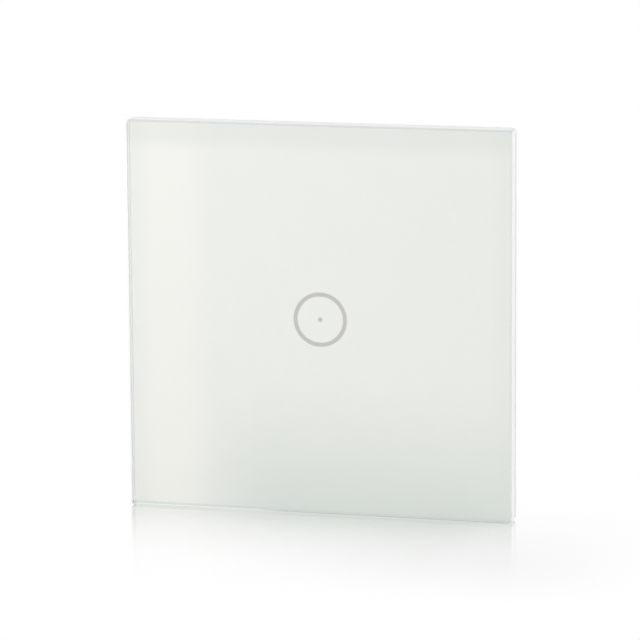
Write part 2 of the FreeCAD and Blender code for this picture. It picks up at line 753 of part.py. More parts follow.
def front_cover():
    faces = (COVER_FRONT, RIM_FRONT)
    body = slab("cover_form", RIM_EDGE, "rim_corner", faces)
    centres = at_corners(COVER_SCREW_PLACE)
    holes = [("cover_screw_radius + screw_clearance", centre) for centre in centres]
    guide = ("guide_wide / 2 + guide_clearance", ("0", "0"))
    pocket(body, "cover_holes", faces, circles=holes + [guide])
    heads = [("cover_head_radius + screw_clearance", centre) for centre in centres]
    pocket(body, "cover_head_seats", (COVER_FRONT, f"{COVER_FRONT} + cover_head_deep"), circles=heads)
    feet = rods("cover_foot", "cover_boss_radius", (f"{RIM_FRONT} - cover_thick / 2", TOUCH_BOARD_FRONT),
                at_corners("cover_boss_across", "cover_boss_up"))
    keep(join("cover_joined", [body] + feet), "front_cover")


def flat_screw(name, centre, faces, head_end, radii, drive):
    """A screw along Y with its head in front. Its faces are the head's front and the tip."""
    head = rod(f"{name}_head", radii[1], (faces[0], head_end), centre)
    shank = rod(f"{name}_shank", radii[0], (head_end, faces[1]), centre)
    arms = []
    deep, reach = drive
    for across, up in ((reach, "drive_wide / 2"), ("drive_wide / 2", reach)):
        arms.append(block(f"{name}_drive", (f"{centre[0]} - {across}", f"{centre[0]} + {across}"),
                          (faces[0], f"{faces[0]} + {deep}"),
                          (f"{centre[1]} - {up}", f"{centre[1]} + {up}")))
    return cut(f"{name}_form", join(f"{name}_joined", [head, shank]), arms)


def cover_screws():
    faces = (COVER_FRONT, "-peg_recess")
    radii = ("cover_screw_radius", "cover_head_radius")
    screws = [flat_screw("cover_screw", centre, faces, f"{COVER_FRONT} + cover_head_deep", radii,
                         ("cover_drive_deep", "cover_drive_reach"))
              for centre in at_corners(COVER_SCREW_PLACE)]
    keep(group("cover_screw_set", screws), "cover_screws")


def board_screws():
    faces = ("power_board_front - board_head_thick", "power_board_front + board_screw_long")
    radii = ("board_screw_radius", "board_head_radius")
    drive = ("board_drive_deep", "board_drive_reach")
    screws = [flat_screw("board_screw", centre, faces, "power_board_front", radii, drive) for centre in POSTS]
    keep(group("board_screw_set", screws), "board_screws")


def light_guide():
    """Clear ring that carries light from the board to the symbol."""
    middle = ("0", "0")
    collar = rod("guide_collar", "guide_wide / 2", (CARRIER_FRONT, GUIDE_BACK), middle)
    flange = rod("guide_foot", "guide_flange / 2", (RIM_FRONT, GUIDE_BACK), middle)
    bore = rod("guide_hole", "guide_bore / 2", (CARRIER_FRONT, GUIDE_BACK), middle)
    keep(cut("guide_form", join("guide_joined", [collar, flange]), [bore]), "light_guide")


def biarc(start, leaving, stop, arriving):
    """Two arcs that leave one point and reach another along given directions."""
    chord, lean = stop - start, leaving + arriving
    spread = 2 * (1 - leaving.dot(arriving))
    pull = (((chord.dot(lean)) ** 2 + spread * chord.dot(chord)) ** 0.5 - chord.dot(lean)) / spread
    joint = (start + stop + (leaving - arriving) * pull) * 0.5
    return [arc_from(start, leaving, joint), arc_from(stop, arriving * -1, joint)]


def arc_from(start, leaving, stop):
    """The arc that leaves a point along a direction and reaches another point."""
    chord = stop - start
    inward = (chord - leaving * chord.dot(leaving)).normalize()
    centre = start + inward * (chord.dot(chord) / (2 * chord.dot(inward)))
    reach = (start - centre).Length
    middle = centre + ((start - centre) + (stop - centre)).normalize() * reach
    return Part.Arc(start, middle, stop).toShape()


def touch_spring():
    """Wire coil that presses the sensor's contact on the back of the glass."""
    wire = measure("coil_wire") / 2
    radius = measure("coil_wide") / 2 - wire
    seat = measure(TOUCH_BOARD_FRONT) - wire
    crest = measure(TAPE_FRONT) + measure("coil_gap") + wire
    quarters = 4 * COIL_TURNS
    climb = (crest - seat) / quarters
    print("touch spring: gap between turns", round(abs(climb) * 4 - 2 * wire, 3))

    def stand(count):
        turn = FreeCAD.Rotation(FreeCAD.Vector(0, 1, 0), 90 * count)
        return turn.multVec(FreeCAD.Vector(radius, 0, 0)) + FreeCAD.Vector(0, seat + climb * count, 0)

    def heading(count):
        turn = FreeCAD.Rotation(FreeCAD.Vector(0, 1, 0), 90 * count)
        steep = FreeCAD.Vector(0, climb / (radius * math.pi / 2), -1)
        return turn.multVec(steep).normalize()

    edges = []
    for count in range(quarters):
        first, second = biarc(stand(count), heading(count), stand(count + 1), heading(count + 1))
        edges += [first, second]
    path = Part.Wire(Part.__sortEdges__(edges))
    ring = Part.Wire(Part.makeCircle(wire, stand(0), heading(0)))
    piece = doc.addObject("Part::Feature", "spring_form")
    piece.Shape = path.makePipeShell([ring], True, False)
    piece.Placement = FreeCAD.Placement()
    keep(piece, "touch_spring")


def touch_board():
    faces = (TOUCH_BOARD_FRONT, "0")
    half, corner = f"{CUP_HOLLOW} - board_clearance", f"{CUP_HOLLOW_CORNER} - board_clearance"
    body = slab("touch_board_form", half, corner, faces)
    pins = [("header_pin_radius + lead_clearance", centre) for centre in header_places()]
    pocket(body, "touch_board_holes", faces, circles=pins)
    keep(body, "touch_board")


def power_board():
    faces = ("power_board_front", POWER_BOARD_BACK)
    half, corner = f"{CUP_HOLLOW} - {POWER_BOARD_INSET}", f"{CUP_HOLLOW_CORNER} - {POWER_BOARD_INSET}"
    body = slab("power_board_form", half, corner, faces)
    leads = FILTER_LEADS + STORAGE_LEADS + CHOKE_LEADS + VARISTOR_LEADS + RESISTOR_LEADS
    holes = [("lead_radius + lead_clearance", centre) for centre in leads]
    holes += [("relay_pin_radius + lead_clearance", centre) for centre in RELAY_PINS]
    holes += [("tongue_pin_wide * sqrt(0.5) + lead_clearance", centre) for centre in TONGUE_PINS]
    holes += [("header_pin_radius + lead_clearance", centre) for centre in header_places()]
    holes += [("board_screw_radius + screw_clearance", centre) for centre in POSTS]
    pocket(body, "power_board_holes", faces, circles=holes)
    keep(body, "power_board")


def indicator_leds():
    ring = "((guide_wide + guide_bore) / 4 * sqrt(0.5))"
    lamps = []
    for across, up in CORNERS:
        sides = [(f"{way} * {ring} - led_side / 2", f"{way} * {ring} + led_side / 2") for way in (across, up)]
        lamps.append(block("led_lamp", sides[0], (GUIDE_BACK, TOUCH_BOARD_FRONT), sides[1]))
    keep(group("led_set", lamps), "indicator_leds")


def square_part(name, side, centre, deep):
    """A flat square part on a board."""
    across, up = ((f"{place} - {side} / 2", f"{place} + {side} / 2") for place in centre)
    return block(name, across, deep, up)


def touch_chip():
    centre = ("(-touch_chip_across)", "touch_chip_up")
    keep(square_part("touch_chip_form", "touch_chip_side", centre, ("0", "touch_chip_thick")), "touch_chip")


def radio_parts():
    """Small radio board with its chip under a metal shield."""
    across = ("radio_across - radio_wide / 2", "radio_across + radio_wide / 2")
    up = ("radio_up - radio_long / 2", "radio_up + radio_long / 2")
    keep(block("radio_board_form", across, ("0", "radio_thick"), up), "radio_board")
    middle = ("radio_across", "(radio_up - shield_drop)")
    left, right = (f"{middle[0]} {way} shield_wide / 2" for way in "-+")
    low, high = (f"{middle[1]} {way} shield_long / 2" for way in "-+")
    deep = ("radio_thick", "radio_thick + shield_tall")
    outside = block("shield_outside", (left, right), deep, (low, high))
    inside = block("shield_inside", (f"{left} + shield_wall", f"{right} - shield_wall"),
                   (deep[0], f"{deep[1]} - shield_wall"), (f"{low} + shield_wall", f"{high} - shield_wall"))
    keep(cut("shield_form", outside, [inside]), "radio_shield")
    faces = (deep[0], f"{deep[0]} + radio_chip_thick")
    keep(square_part("radio_chip_form", "radio_chip_side", middle, faces), "radio_chip")


def board_plug():
    """Pin header on the touch board and its socket on the power board."""
    along = [f"{end} * header_pitch * {HEADER_PINS} / 2" for end in (-1, 1)]
    up = ("-header_drop - header_wide / 2", "-header_drop + header_wide / 2")
    tip = "power_board_front - 2 * lead_proud"
    strip = block("header_strip", along, ("0", "header_tall"), up)
    holes = rods("header_hole", "header_pin_radius + ink_clearance", ("0", "header_tall"), header_places())
    keep(cut("header_form", strip, holes), "pin_header")
    ends = (f"{TOUCH_BOARD_FRONT} - lead_proud", tip)
    pins = rods("header_pin", "header_pin_radius", ends, header_places())
    keep(group("header_pin_set", pins), "header_pins")
    socket = block("socket_block", along, ("header_tall + header_air", "power_board_front"), up)
    sleeves = rods("socket_sleeve", "header_pin_radius + lead_clearance",
                   ("header_tall + header_air", f"{tip} + lead_proud / 2"), header_places())
    tails = rods("socket_tail", "header_pin_radius", ("power_board_front - lead_proud / 4",
                 f"{POWER_BOARD_BACK} + lead_proud"), header_places())
    keep(join("socket_form", [cut("socket_cut", socket, sleeves)] + tails), "header_socket")


def leaded(name, pieces, leads, top):
    """Join a component to its two leads, which pass through the board."""
    wires = rods(f"{name}_lead", "lead_radius", (LEAD_TIP, top), leads)
    return keep(join(f"{name}_form", pieces + wires), name)


def filter_capacitor():
    foot = f"{POWER_BOARD_BACK} + component_lift"
    can = block("filter_box", ("filter_across - filter_wide / 2", "filter_across + filter_wide / 2"),
                (foot, f"{foot} + filter_tall"),
                ("filter_up - filter_long / 2", "filter_up + filter_long / 2"))
    leaded("filter_capacitor", [can], FILTER_LEADS, f"{foot} + lead_proud")


def storage_capacitor():
    foot = f"{POWER_BOARD_BACK} + component_lift"
    centre = ("storage_across", "storage_up")
    can = rod("storage_can", "storage_radius", (foot, f"{foot} + storage_tall"), centre)
    leaded("storage_capacitor", [can], STORAGE_LEADS, f"{foot} + lead_proud")


def choke():
    """Ferrite drum with a copper winding."""
    foot = f"{POWER_BOARD_BACK} + component_lift"
    top = f"{foot} + choke_tall"
    centre = ("choke_across", "choke_up")
    drum = [rod("choke_foot", "choke_radius", (foot, f"{foot} + choke_flange"), centre),
            rod("choke_post", "choke_post_radius", (foot, top), centre),
            rod("choke_head", "choke_radius", (f"{top} - choke_flange", top), centre)]
    leaded("choke_core", drum, CHOKE_LEADS, f"{foot} + choke_flange / 2")
    ends = (f"{foot} + choke_flange + winding_clearance", f"{top} - choke_flange - winding_clearance")
    winding = tube("choke_winding", "choke_radius - winding_inset", "choke_post_radius + winding_clearance",
                   ends, centre)
    keep(winding, "choke_coil")


def varistor():
    middle = f"{POWER_BOARD_BACK} + component_lift + varistor_radius"
    disc = rod("varistor_disc", "varistor_radius",
               (f"{VARISTOR_ACROSS} - varistor_thick / 2", f"{VARISTOR_ACROSS} + varistor_thick / 2"),
               (middle, "-varistor_drop"), axis="x")
    leaded("varistor", [disc], VARISTOR_LEADS, middle)


def fuse_resistor():
    height = f"({POWER_BOARD_BACK} + component_lift + resistor_radius)"
    barrel = rod("resistor_barrel", "resistor_radius",
                 ("-resistor_drop - resistor_long / 2", "-resistor_drop + resistor_long / 2"),
                 ("resistor_across", height), axis="z")
    wire = rod("resistor_wire", "lead_radius",
               (f"-resistor_drop - {RESISTOR_SPREAD} / 2", f"-resistor_drop + {RESISTOR_SPREAD} / 2"),
               ("resistor_across", height), axis="z")
    leaded("fuse_resistor", [barrel, wire], RESISTOR_LEADS, f"{height} + lead_radius")


def legged_part(name, sizes, centre, seat, away, legs):
    """A moulded package with a row of legs on each long side. It stands away from its board."""
    wide, long, tall = sizes
    near = f"{seat} + {away} * leg_lift"
    far = f"{near} + {away} * {tall}"
    body = block(f"{name}_body", (f"{centre[0]} - {wide} / 2", f"{centre[0]} + {wide} / 2"),
                 sorted((near, far), key=measure), (f"{centre[1]} - {long} / 2", f"{centre[1]} + {long} / 2"))
    feet = []
    for count in range(legs):
        place = f"{centre[1]} + {count - (legs - 1) / 2} * leg_pitch"
        feet.append(block(f"{name}_leg",
                          (f"{centre[0]} - {wide} / 2 - leg_reach", f"{centre[0]} + {wide} / 2 + leg_reach"),
                          sorted((seat, f"{seat} + {away} * leg_tall"), key=measure),
                          (f"{place} - leg_wide / 2", f"{place} + leg_wide / 2")))
    return keep(join(f"{name}_form", [body] + feet), name)


def packages():
    legged_part("bridge_rectifier", ("rectifier_wide", "rectifier_long", "rectifier_tall"),
                ("0", "(-rectifier_drop)"), POWER_BOARD_BACK, 1, 2)
    legged_part("power_chip", ("chip_wide", "chip_long", "chip_tall"),
                ("chip_across", "chip_up"), "power_board_front", -1, 4)


def relay_span(half_across, low, high):
    """Two ranges in the relay: across its middle, and up between two places from its middle."""
    return ((f"{RELAY_ACROSS} - {half_across}", f"{RELAY_ACROSS} + {half_across}"),
            (f"relay_up + ({low})", f"relay_up + ({high})"))


def relay_shell():
    wide, tall = "relay_wide / 2", "relay_long / 2"
    across, up = relay_span(wide, f"-{tall}", tall)
    back = f"{POWER_BOARD_BACK} + relay_tall"
    outside = block("relay_outside", across, (POWER_BOARD_BACK, back), up)
    across, up = relay_span(f"({wide} - relay_wall)", f"-{tall} + relay_wall", f"{tall} - relay_wall")
    inside = block("relay_inside", across, (POWER_BOARD_BACK, f"{back} - relay_wall"), up)
    keep(cut("relay_case_form", outside, [inside]), "relay_case")
    inset = "(relay_wall + relay_fit)"
    across, up = relay_span(f"({wide} - {inset})", f"-{tall} + {inset}", f"{tall} - {inset}")
    faces = (POWER_BOARD_BACK, RELAY_FLOOR)
    holes = rods("relay_base_hole", "relay_pin_radius + relay_fit", faces, RELAY_PINS)
    keep(cut("relay_base_form", block("relay_base_plate", across, faces, up), holes), "relay_base")
    pins = rods("relay_pin", "relay_pin_radius", (LEAD_TIP, RELAY_FLOOR), RELAY_PINS)
    keep(group("relay_pin_set", pins), "relay_pins")


def relay_magnet():
    """Yoke, core, spool and winding of the relay."""
    low = "-yoke_place - yoke_thick / 2"
    across, up = relay_span("yoke_wide / 2", low, "-spool_place + spool_side / 2")
    foot = block("yoke_foot", across, (RELAY_FLOOR, YOKE_FOOT), up)
    across, up = relay_span("yoke_wide / 2", low, "-yoke_place + yoke_thick / 2")
    leg = block("yoke_leg", across, (RELAY_FLOOR, YOKE_TOP), up)
    keep(join("yoke_form", [foot, leg]), "relay_yoke")
    centre = (RELAY_ACROSS, SPOOL_UP)
    stem = rod("core_stem", "core_radius", (YOKE_FOOT, CORE_TOP), centre)
    head = rod("core_head", "core_head_radius", (SPOOL_TOP, CORE_TOP), centre)
    keep(join("core_form", [stem, head]), "relay_core")
    low, high = (f"-spool_place {way} spool_side / 2" for way in "-+")
    across, up = relay_span("spool_side / 2", low, high)
    ends = [block("spool_foot", across, (YOKE_FOOT, f"{YOKE_FOOT} + spool_flange"), up),
            block("spool_head", across, (f"{SPOOL_TOP} - spool_flange", SPOOL_TOP), up),
            rod("spool_tube", "spool_tube_radius", (YOKE_FOOT, SPOOL_TOP), centre)]
    bore = rod("spool_bore", "core_radius + winding_clearance", (YOKE_FOOT, SPOOL_TOP), centre)
    keep(cut("spool_form", join("spool_joined", ends), [bore]), "relay_spool")
    winding = tube("relay_winding", "spool_side / 2 - winding_inset / 2",
                   "spool_tube_radius + winding_clearance",
                   (f"{YOKE_FOOT} + spool_flange + winding_clearance",
                    f"{SPOOL_TOP} - spool_flange - winding_clearance"), centre)
    keep(winding, "relay_coil")


def relay_contacts():
    """Armature that tips on the yoke, its contact blade and the fixed contact."""
    across, up = relay_span("yoke_wide / 2", "-yoke_place - armature_tail", "-yoke_place + armature_reach")
    keep(block("armature_form", across, (ARMATURE_UNDER, BLADE_UNDER), up), "relay_armature")
    contact = (RELAY_ACROSS, f"{HINGE_UP} + contact_reach")
    across, up = relay_span("blade_wide / 2", "-yoke_place - armature_tail",
                            "-yoke_place + contact_reach + contact_radius")
    strip = block("blade_strip", across, (BLADE_UNDER, f"{BLADE_UNDER} + blade_thick"), up)
    button = rod("blade_button", "contact_radius", (f"{BLADE_UNDER} - contact_tall", BLADE_UNDER), contact)
    places = ("rivet_from_hinge", "armature_reach - rivet_from_end")
    rivets = rods("blade_rivet", "rivet_radius", (BLADE_UNDER, f"{BLADE_UNDER} + blade_thick + rivet_tall"),
                  [(RELAY_ACROSS, f"{HINGE_UP} + {place}") for place in places])
    keep(join("blade_form", [strip, button] + rivets), "relay_contact_blade")
    top = f"({BLADE_UNDER} - contact_tall - contact_travel)"
    arm_top = f"({top} - fixed_contact_tall)"
    wide = "relay_pin_across + relay_pin_radius"
    across, up = relay_span(f"({wide})", "contact_post_place", "contact_post_place + contact_post_thick")
    post = block("contact_post", across, (RELAY_FLOOR, arm_top), up)
    across, up = relay_span("blade_wide / 2", "-yoke_place + contact_reach - contact_radius",
                            "contact_post_place + contact_post_thick")
    arm = block("contact_arm", across, (f"{arm_top} - contact_arm_thick", arm_top), up)
    pad_piece = rod("contact_button", "contact_radius", (arm_top, top), contact)
    keep(join("contact_form", [post, arm, pad_piece]), "relay_fixed_contact")


def terminal_block():
    outside = block("terminal_outside", ("-terminal_block_wide / 2", "terminal_block_wide / 2"),
                    (POWER_BOARD_BACK, BLOCK_BACK), (BLOCK_LOW, BLOCK_HIGH))
    hollows = []
    slot = (f"{TONGUE_UNDER} - tongue_air", f"{TONGUE_TOP} + tongue_air")
    half = "(tongue_wide / 2 + cage_clearance)"
    for place in terminal_places():
        hollows.append(block("terminal_chamber",
                             (f"{place} - chamber_wide / 2", f"{place} + chamber_wide / 2"),
                             (CHAMBER_FLOOR, CHAMBER_TOP), (BLOCK_LOW, f"{BLOCK_HIGH} - terminal_back_wall")))
        hollows.append(block("terminal_tongue_slot", (f"{place} - {half}", f"{place} + {half}"),
                             slot, (BLOCK_LOW, BLOCK_HIGH)))
        centre = (place, CAGE_MIDDLE)
        hollows.append(rod("terminal_head_room", "clamp_head_radius + cage_clearance",
                           (CHAMBER_TOP, f"{BLOCK_BACK} - driver_lip"), centre))
        hollows.append(rod("terminal_driver_hole", "driver_bore_radius", (CHAMBER_TOP, BLOCK_BACK), centre))
    keep(cut("terminal_form", outside, hollows), "terminal_block")


def terminal_tongues():
    """Bars that the wires are clamped on, bent down to the board."""
    tongues = []
    for place, pin in zip(terminal_places(), TONGUE_PINS):
        across = (f"{place} - tongue_wide / 2", f"{place} + tongue_wide / 2")
        leg_up = (TONGUE_BACK, f"{TONGUE_BACK} + tongue_thick")
        bar = block("tongue_bar", across, (TONGUE_UNDER, TONGUE_TOP), (CAGE_LOW, leg_up[1]))
        leg = block("tongue_leg", across, (POWER_BOARD_BACK, TONGUE_TOP), leg_up)
        tail = block("tongue_tail", (f"{pin[0]} - tongue_pin_wide / 2", f"{pin[0]} + tongue_pin_wide / 2"),
                     (LEAD_TIP, TONGUE_TOP), leg_up)
        tongues.append(join("tongue_form", [bar, leg, tail]))
    keep(group("tongue_set", tongues), "terminal_tongues")


def terminal_clamps():
    """Rising cages and the captive screws that lift them."""
    for count, place in enumerate(terminal_places(), 1):
        centre = (place, CAGE_MIDDLE)
        head = rod("clamp_head", "clamp_head_radius", (HEAD_UNDER, HEAD_TOP), centre)
        ends = (f"{TONGUE_TOP} + clamp_tip_air", HEAD_UNDER)
        shank = rod("clamp_shank", "clamp_screw_radius", ends, centre)
        groove = block("clamp_groove", (f"{place} - clamp_head_radius", f"{place} + clamp_head_radius"),
                       (f"{HEAD_TOP} - clamp_slot_deep", HEAD_TOP),
                       (f"{CAGE_MIDDLE} - clamp_slot_wide / 2", f"{CAGE_MIDDLE} + clamp_slot_wide / 2"))
        screw = cut(f"clamp_screw_{count}_form", join("clamp_joined", [head, shank]), [groove])
        keep(screw, f"terminal_screw_{count}")
        half = "(chamber_wide / 2 - cage_clearance)"
        inner = f"({half} - cage_wall)"
        outside = block("cage_outside", (f"{place} - {half}", f"{place} + {half}"),
                        (CAGE_UNDER, ROOF_TOP), (CAGE_LOW, CAGE_HIGH))
        inside = block("cage_inside", (f"{place} - {inner}", f"{place} + {inner}"),
                       (WIRE_LOW, ROOF_UNDER), (CAGE_LOW, CAGE_HIGH))
        thread = rod("cage_thread", "clamp_screw_radius + thread_clearance", (ROOF_UNDER, ROOF_TOP), centre)
        keep(cut(f"cage_{count}_form", outside, [inside, thread]), f"terminal_cage_{count}")


for make in (glass_panel, printed_film, touch_symbol, panel_tape, panel_carrier, mounting_plate, clip_frame,
             retaining_springs, rear_housing, front_cover, cover_screws, light_guide, touch_spring,
             touch_board, indicator_leds, touch_chip, radio_parts, board_plug, power_board, board_screws,
             filter_capacitor, storage_capacitor, choke, varistor, fuse_resistor, packages, relay_shell,
             relay_magnet, relay_contacts, terminal_block, terminal_tongues, terminal_clamps):
    make()
doc.recompute()

for piece in doc.Objects:
    if "Invalid" in piece.State or "Error" in piece.State:
        raise RuntimeError(f"{piece.Label} failed: {piece.State}")
for piece in subparts:
    if piece.Shape.isNull() or not piece.Shape.isValid() or not piece.Shape.Solids:
        raise RuntimeError(f"{piece.Label} has no valid solid")

os.makedirs("parts", exist_ok=True)
for piece in subparts:
    piece.Shape.exportStep(f"parts/{piece.Label}.step")
print(len(subparts), "sub-parts written")
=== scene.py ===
import json
import math

import bmesh
import bpy
from mathutils import Matrix, Vector


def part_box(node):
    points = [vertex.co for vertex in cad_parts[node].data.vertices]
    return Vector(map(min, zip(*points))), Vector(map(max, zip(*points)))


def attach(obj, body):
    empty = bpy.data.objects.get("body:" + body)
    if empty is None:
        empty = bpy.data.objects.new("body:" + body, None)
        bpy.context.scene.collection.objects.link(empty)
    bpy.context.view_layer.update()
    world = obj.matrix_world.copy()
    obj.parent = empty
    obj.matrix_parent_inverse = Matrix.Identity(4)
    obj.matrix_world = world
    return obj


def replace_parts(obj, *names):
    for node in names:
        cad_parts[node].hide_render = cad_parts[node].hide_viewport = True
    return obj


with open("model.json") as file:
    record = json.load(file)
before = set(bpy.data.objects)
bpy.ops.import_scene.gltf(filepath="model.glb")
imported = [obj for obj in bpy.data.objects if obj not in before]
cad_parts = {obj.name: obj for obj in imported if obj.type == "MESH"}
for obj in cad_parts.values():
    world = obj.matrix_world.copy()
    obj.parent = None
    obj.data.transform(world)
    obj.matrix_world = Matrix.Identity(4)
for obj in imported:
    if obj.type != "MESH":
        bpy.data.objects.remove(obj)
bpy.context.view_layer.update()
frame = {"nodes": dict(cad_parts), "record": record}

MM = 0.001
NODES = frame["nodes"]
GLASS_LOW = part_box("glass_panel")[0]
GLASS_FRONT = GLASS_LOW.y
FLOOR = GLASS_LOW.z
WHITE = (1, 1, 1, 1)


# Camera, at the photograph's viewing angle

PHOTO_PIXELS = 640
SENSOR_MM = 36.0
LENS_PIXELS = 4000
VIEW_AZIMUTH = math.radians(14.8)
VIEW_ELEVATION = math.radians(10.72)
VIEW_ROLL = math.radians(-0.4)
VIEW_DISTANCE = 866.5 * MM
AIM_RIGHT = 0.60 * MM
AIM_UP = 0.39 * MM


def place_camera():
    back = Vector((math.sin(VIEW_AZIMUTH) * math.cos(VIEW_ELEVATION),
                   -math.cos(VIEW_AZIMUTH) * math.cos(VIEW_ELEVATION),
                   math.sin(VIEW_ELEVATION)))
    level = Vector((math.cos(VIEW_AZIMUTH), math.sin(VIEW_AZIMUTH), 0))
    upright = back.cross(level)
    right = level * math.cos(VIEW_ROLL) + upright * math.sin(VIEW_ROLL)
    up = back.cross(right)
    aim = Vector((0, GLASS_FRONT, 0)) + right * AIM_RIGHT + up * AIM_UP
    data = bpy.data.cameras.new("photo_camera")
    data.sensor_width = SENSOR_MM
    data.lens = LENS_PIXELS / PHOTO_PIXELS * SENSOR_MM
    data.clip_start = 0.01
    data.clip_end = 20
    camera = bpy.data.objects.new("photo_camera", data)
    turned = Matrix((right, up, back)).transposed().to_4x4()
    camera.matrix_world = Matrix.Translation(aim + back * VIEW_DISTANCE) @ turned
    bpy.context.scene.collection.objects.link(camera)
    bpy.context.scene.camera = camera


# Node helpers

def wire(tree, source, target):
    tree.links.new(source, target)


def feed(tree, value, target):
    """Give an input a number, or wire another node's output to it."""
    if isinstance(value, (int, float)):
        target.default_value = value
    else:
        wire(tree, value, target)


def add_node(tree, kind, **values):
    """A shader node. Values name its properties, and its inputs go through set_inputs."""
    node = tree.nodes.new(kind)
    for key, value in values.items():
        setattr(node, key, value)
    return node


def set_inputs(node, **values):
    for key, value in values.items():
        node.inputs[key.replace("_", " ")].default_value = value
    return node


def maths(tree, operation, *values):
    """A math node between sockets or numbers."""
    node = add_node(tree, "ShaderNodeMath", operation=operation)
    for value, target in zip(values, node.inputs):
        feed(tree, value, target)
    return node.outputs[0]


def product(tree, *factors):
    total = factors[0]
    for factor in factors[1:]:
        total = maths(tree, "MULTIPLY", total, factor)
    return total


def highest(tree, *values):
    top = values[0]
    for value in values[1:]:
        top = maths(tree, "MAXIMUM", top, value)
    return top


def dimmed(tree, mask, share):
    """A factor that falls from 1 by a share where the mask is 1."""
    return maths(tree, "SUBTRACT", 1.0, product(tree, mask, share))


def raised(tree, mask, least):
    """A factor that rises from the least to 1 where the mask is 1."""
    return maths(tree, "ADD", least, product(tree, mask, 1.0 - least))


def leaning(tree, mask, strength):
    """A mask moved to lie about zero, as strong as given."""
    return product(tree, maths(tree, "SUBTRACT", mask, 0.5), strength)


def ramp(tree, value, start, end):
    """A smooth rise from 0 at the start to 1 at the end, which may be the lower one."""
    node = add_node(tree, "ShaderNodeMapRange", interpolation_type="SMOOTHSTEP")
    rising = end > start
    set_inputs(node, **{"From Min": min(start, end), "From Max": max(start, end),
                        "To Min": 0.0 if rising else 1.0, "To Max": 1.0 if rising else 0.0})
    wire(tree, value, node.inputs["Value"])
    return node.outputs[0]


def object_place(tree):
    return add_node(tree, "ShaderNodeTexCoord").outputs["Object"]


def split_axes(tree, vector):
    axes = add_node(tree, "ShaderNodeSeparateXYZ")
    wire(tree, vector, axes.inputs[0])
    return axes.outputs


def noise(tree, place, scale, **values):
    """Cloudy noise over a place, between 0 and 1."""
    cloud = set_inputs(add_node(tree, "ShaderNodeTexNoise"), **values)
    wire(tree, place, cloud.inputs["Vector"])
    feed(tree, scale, cloud.inputs["Scale"])
    return cloud.outputs["Fac"]


def brightened(tree, colour, gain):
    tint = add_node(tree, "ShaderNodeVectorMath", operation="SCALE")
    wire(tree, colour, tint.inputs[0])
    wire(tree, gain, tint.inputs["Scale"])
    return tint.outputs[0]


def mixed(tree, factor, first, second):
    blend = add_node(tree, "ShaderNodeMixShader")
    for slot, value in enumerate((factor, first, second)):
        wire(tree, value, blend.inputs[slot])
    return blend.outputs[0]


def white_light(tree, kind, strength):
    """A white emission or background, as strong as another node says."""
    light = set_inputs(add_node(tree, kind), Color=WHITE)
    wire(tree, strength, light.inputs["Strength"])
    return light.outputs[0]


def seen_rays(tree, path):
    """1 for the rays that make a picture: straight from the camera, mirrored, or through glass."""
    kinds = ("Is Camera Ray", "Is Glossy Ray", "Is Transmission Ray")
    return highest(tree, *[path.outputs[kind] for kind in kinds])


def new_group(name, inputs, outputs):
    """A shader node group with named sockets, given as (name, kind, value)."""
    group = bpy.data.node_groups.new(name, "ShaderNodeTree")
    for label, kind, value in inputs:
        socket = group.interface.new_socket(label, in_out="INPUT", socket_type=kind)
        socket.default_value = value
    for label, kind in outputs:
        group.interface.new_socket(label, in_out="OUTPUT", socket_type=kind)
    return group, group.nodes.new("NodeGroupInput"), group.nodes.new("NodeGroupOutput")


COLOUR_INPUT = ("Color", "NodeSocketColor", (0.8, 0.8, 0.8, 1))
ROUGH_INPUT = ("Roughness", "NodeSocketFloat", 0.5)
COLOUR_OUTPUT = ("Color", "NodeSocketColor")
ROUGH_OUTPUT = ("Roughness", "NodeSocketFloat")
HEIGHT_OUTPUT = ("Height", "NodeSocketFloat")


def moulding_group():
    """Fine moulded grain with slow waves of tone, for plastic, print and card."""
    group, given, out = new_group(
        "moulded_surface",
        [COLOUR_INPUT, ROUGH_INPUT, ("Grain Size", "NodeSocketFloat", 0.4),
         ("Tone Drift", "NodeSocketFloat", 0.03)],
        [COLOUR_OUTPUT, ROUGH_OUTPUT, HEIGHT_OUTPUT])
    place = object_place(group)
    grains_a_metre = maths(group, "DIVIDE", 1 / MM, given.outputs["Grain Size"])
    grain = noise(group, place, grains_a_metre, Detail=3.0, Roughness=0.6)
    waves = noise(group, place, 55.0, Detail=2.0, Roughness=0.5)
    lean = leaning(group, waves, given.outputs["Tone Drift"])
    gain = maths(group, "ADD", product(group, lean, 2.0), 1.0)
    wire(group, brightened(group, given.outputs["Color"], gain), out.inputs["Color"])
    wire(group, maths(group, "ADD", given.outputs["Roughness"], lean), out.inputs["Roughness"])
    wire(group, grain, out.inputs["Height"])
    return group


def metal_group():
    """Rolled or plated metal: fine lines along one way, and patches of duller plating."""
    group, given, out = new_group(
        "worked_metal",
        [COLOUR_INPUT, ROUGH_INPUT, ("Line Stretch", "NodeSocketVector", (400.0, 400.0, 9000.0)),
         ("Dulling", "NodeSocketFloat", 0.12)],
        [COLOUR_OUTPUT, ROUGH_OUTPUT, HEIGHT_OUTPUT])
    place = object_place(group)
    stretch = add_node(group, "ShaderNodeVectorMath", operation="MULTIPLY")
    wire(group, place, stretch.inputs[0])
    wire(group, given.outputs["Line Stretch"], stretch.inputs[1])
    lines = noise(group, stretch.outputs[0], 1.0, Detail=2.0)
    patches = noise(group, place, 140.0, Detail=4.0, Roughness=0.65)
    dull, streak = [leaning(group, mask, given.outputs["Dulling"]) for mask in (patches, lines)]
    both = maths(group, "ADD", dull, streak)
    gain = maths(group, "SUBTRACT", 1.0, both)
    wire(group, brightened(group, given.outputs["Color"], gain), out.inputs["Color"])
    wire(group, maths(group, "ADD", given.outputs["Roughness"], both), out.inputs["Roughness"])
    wire(group, lines, out.inputs["Height"])
    return group


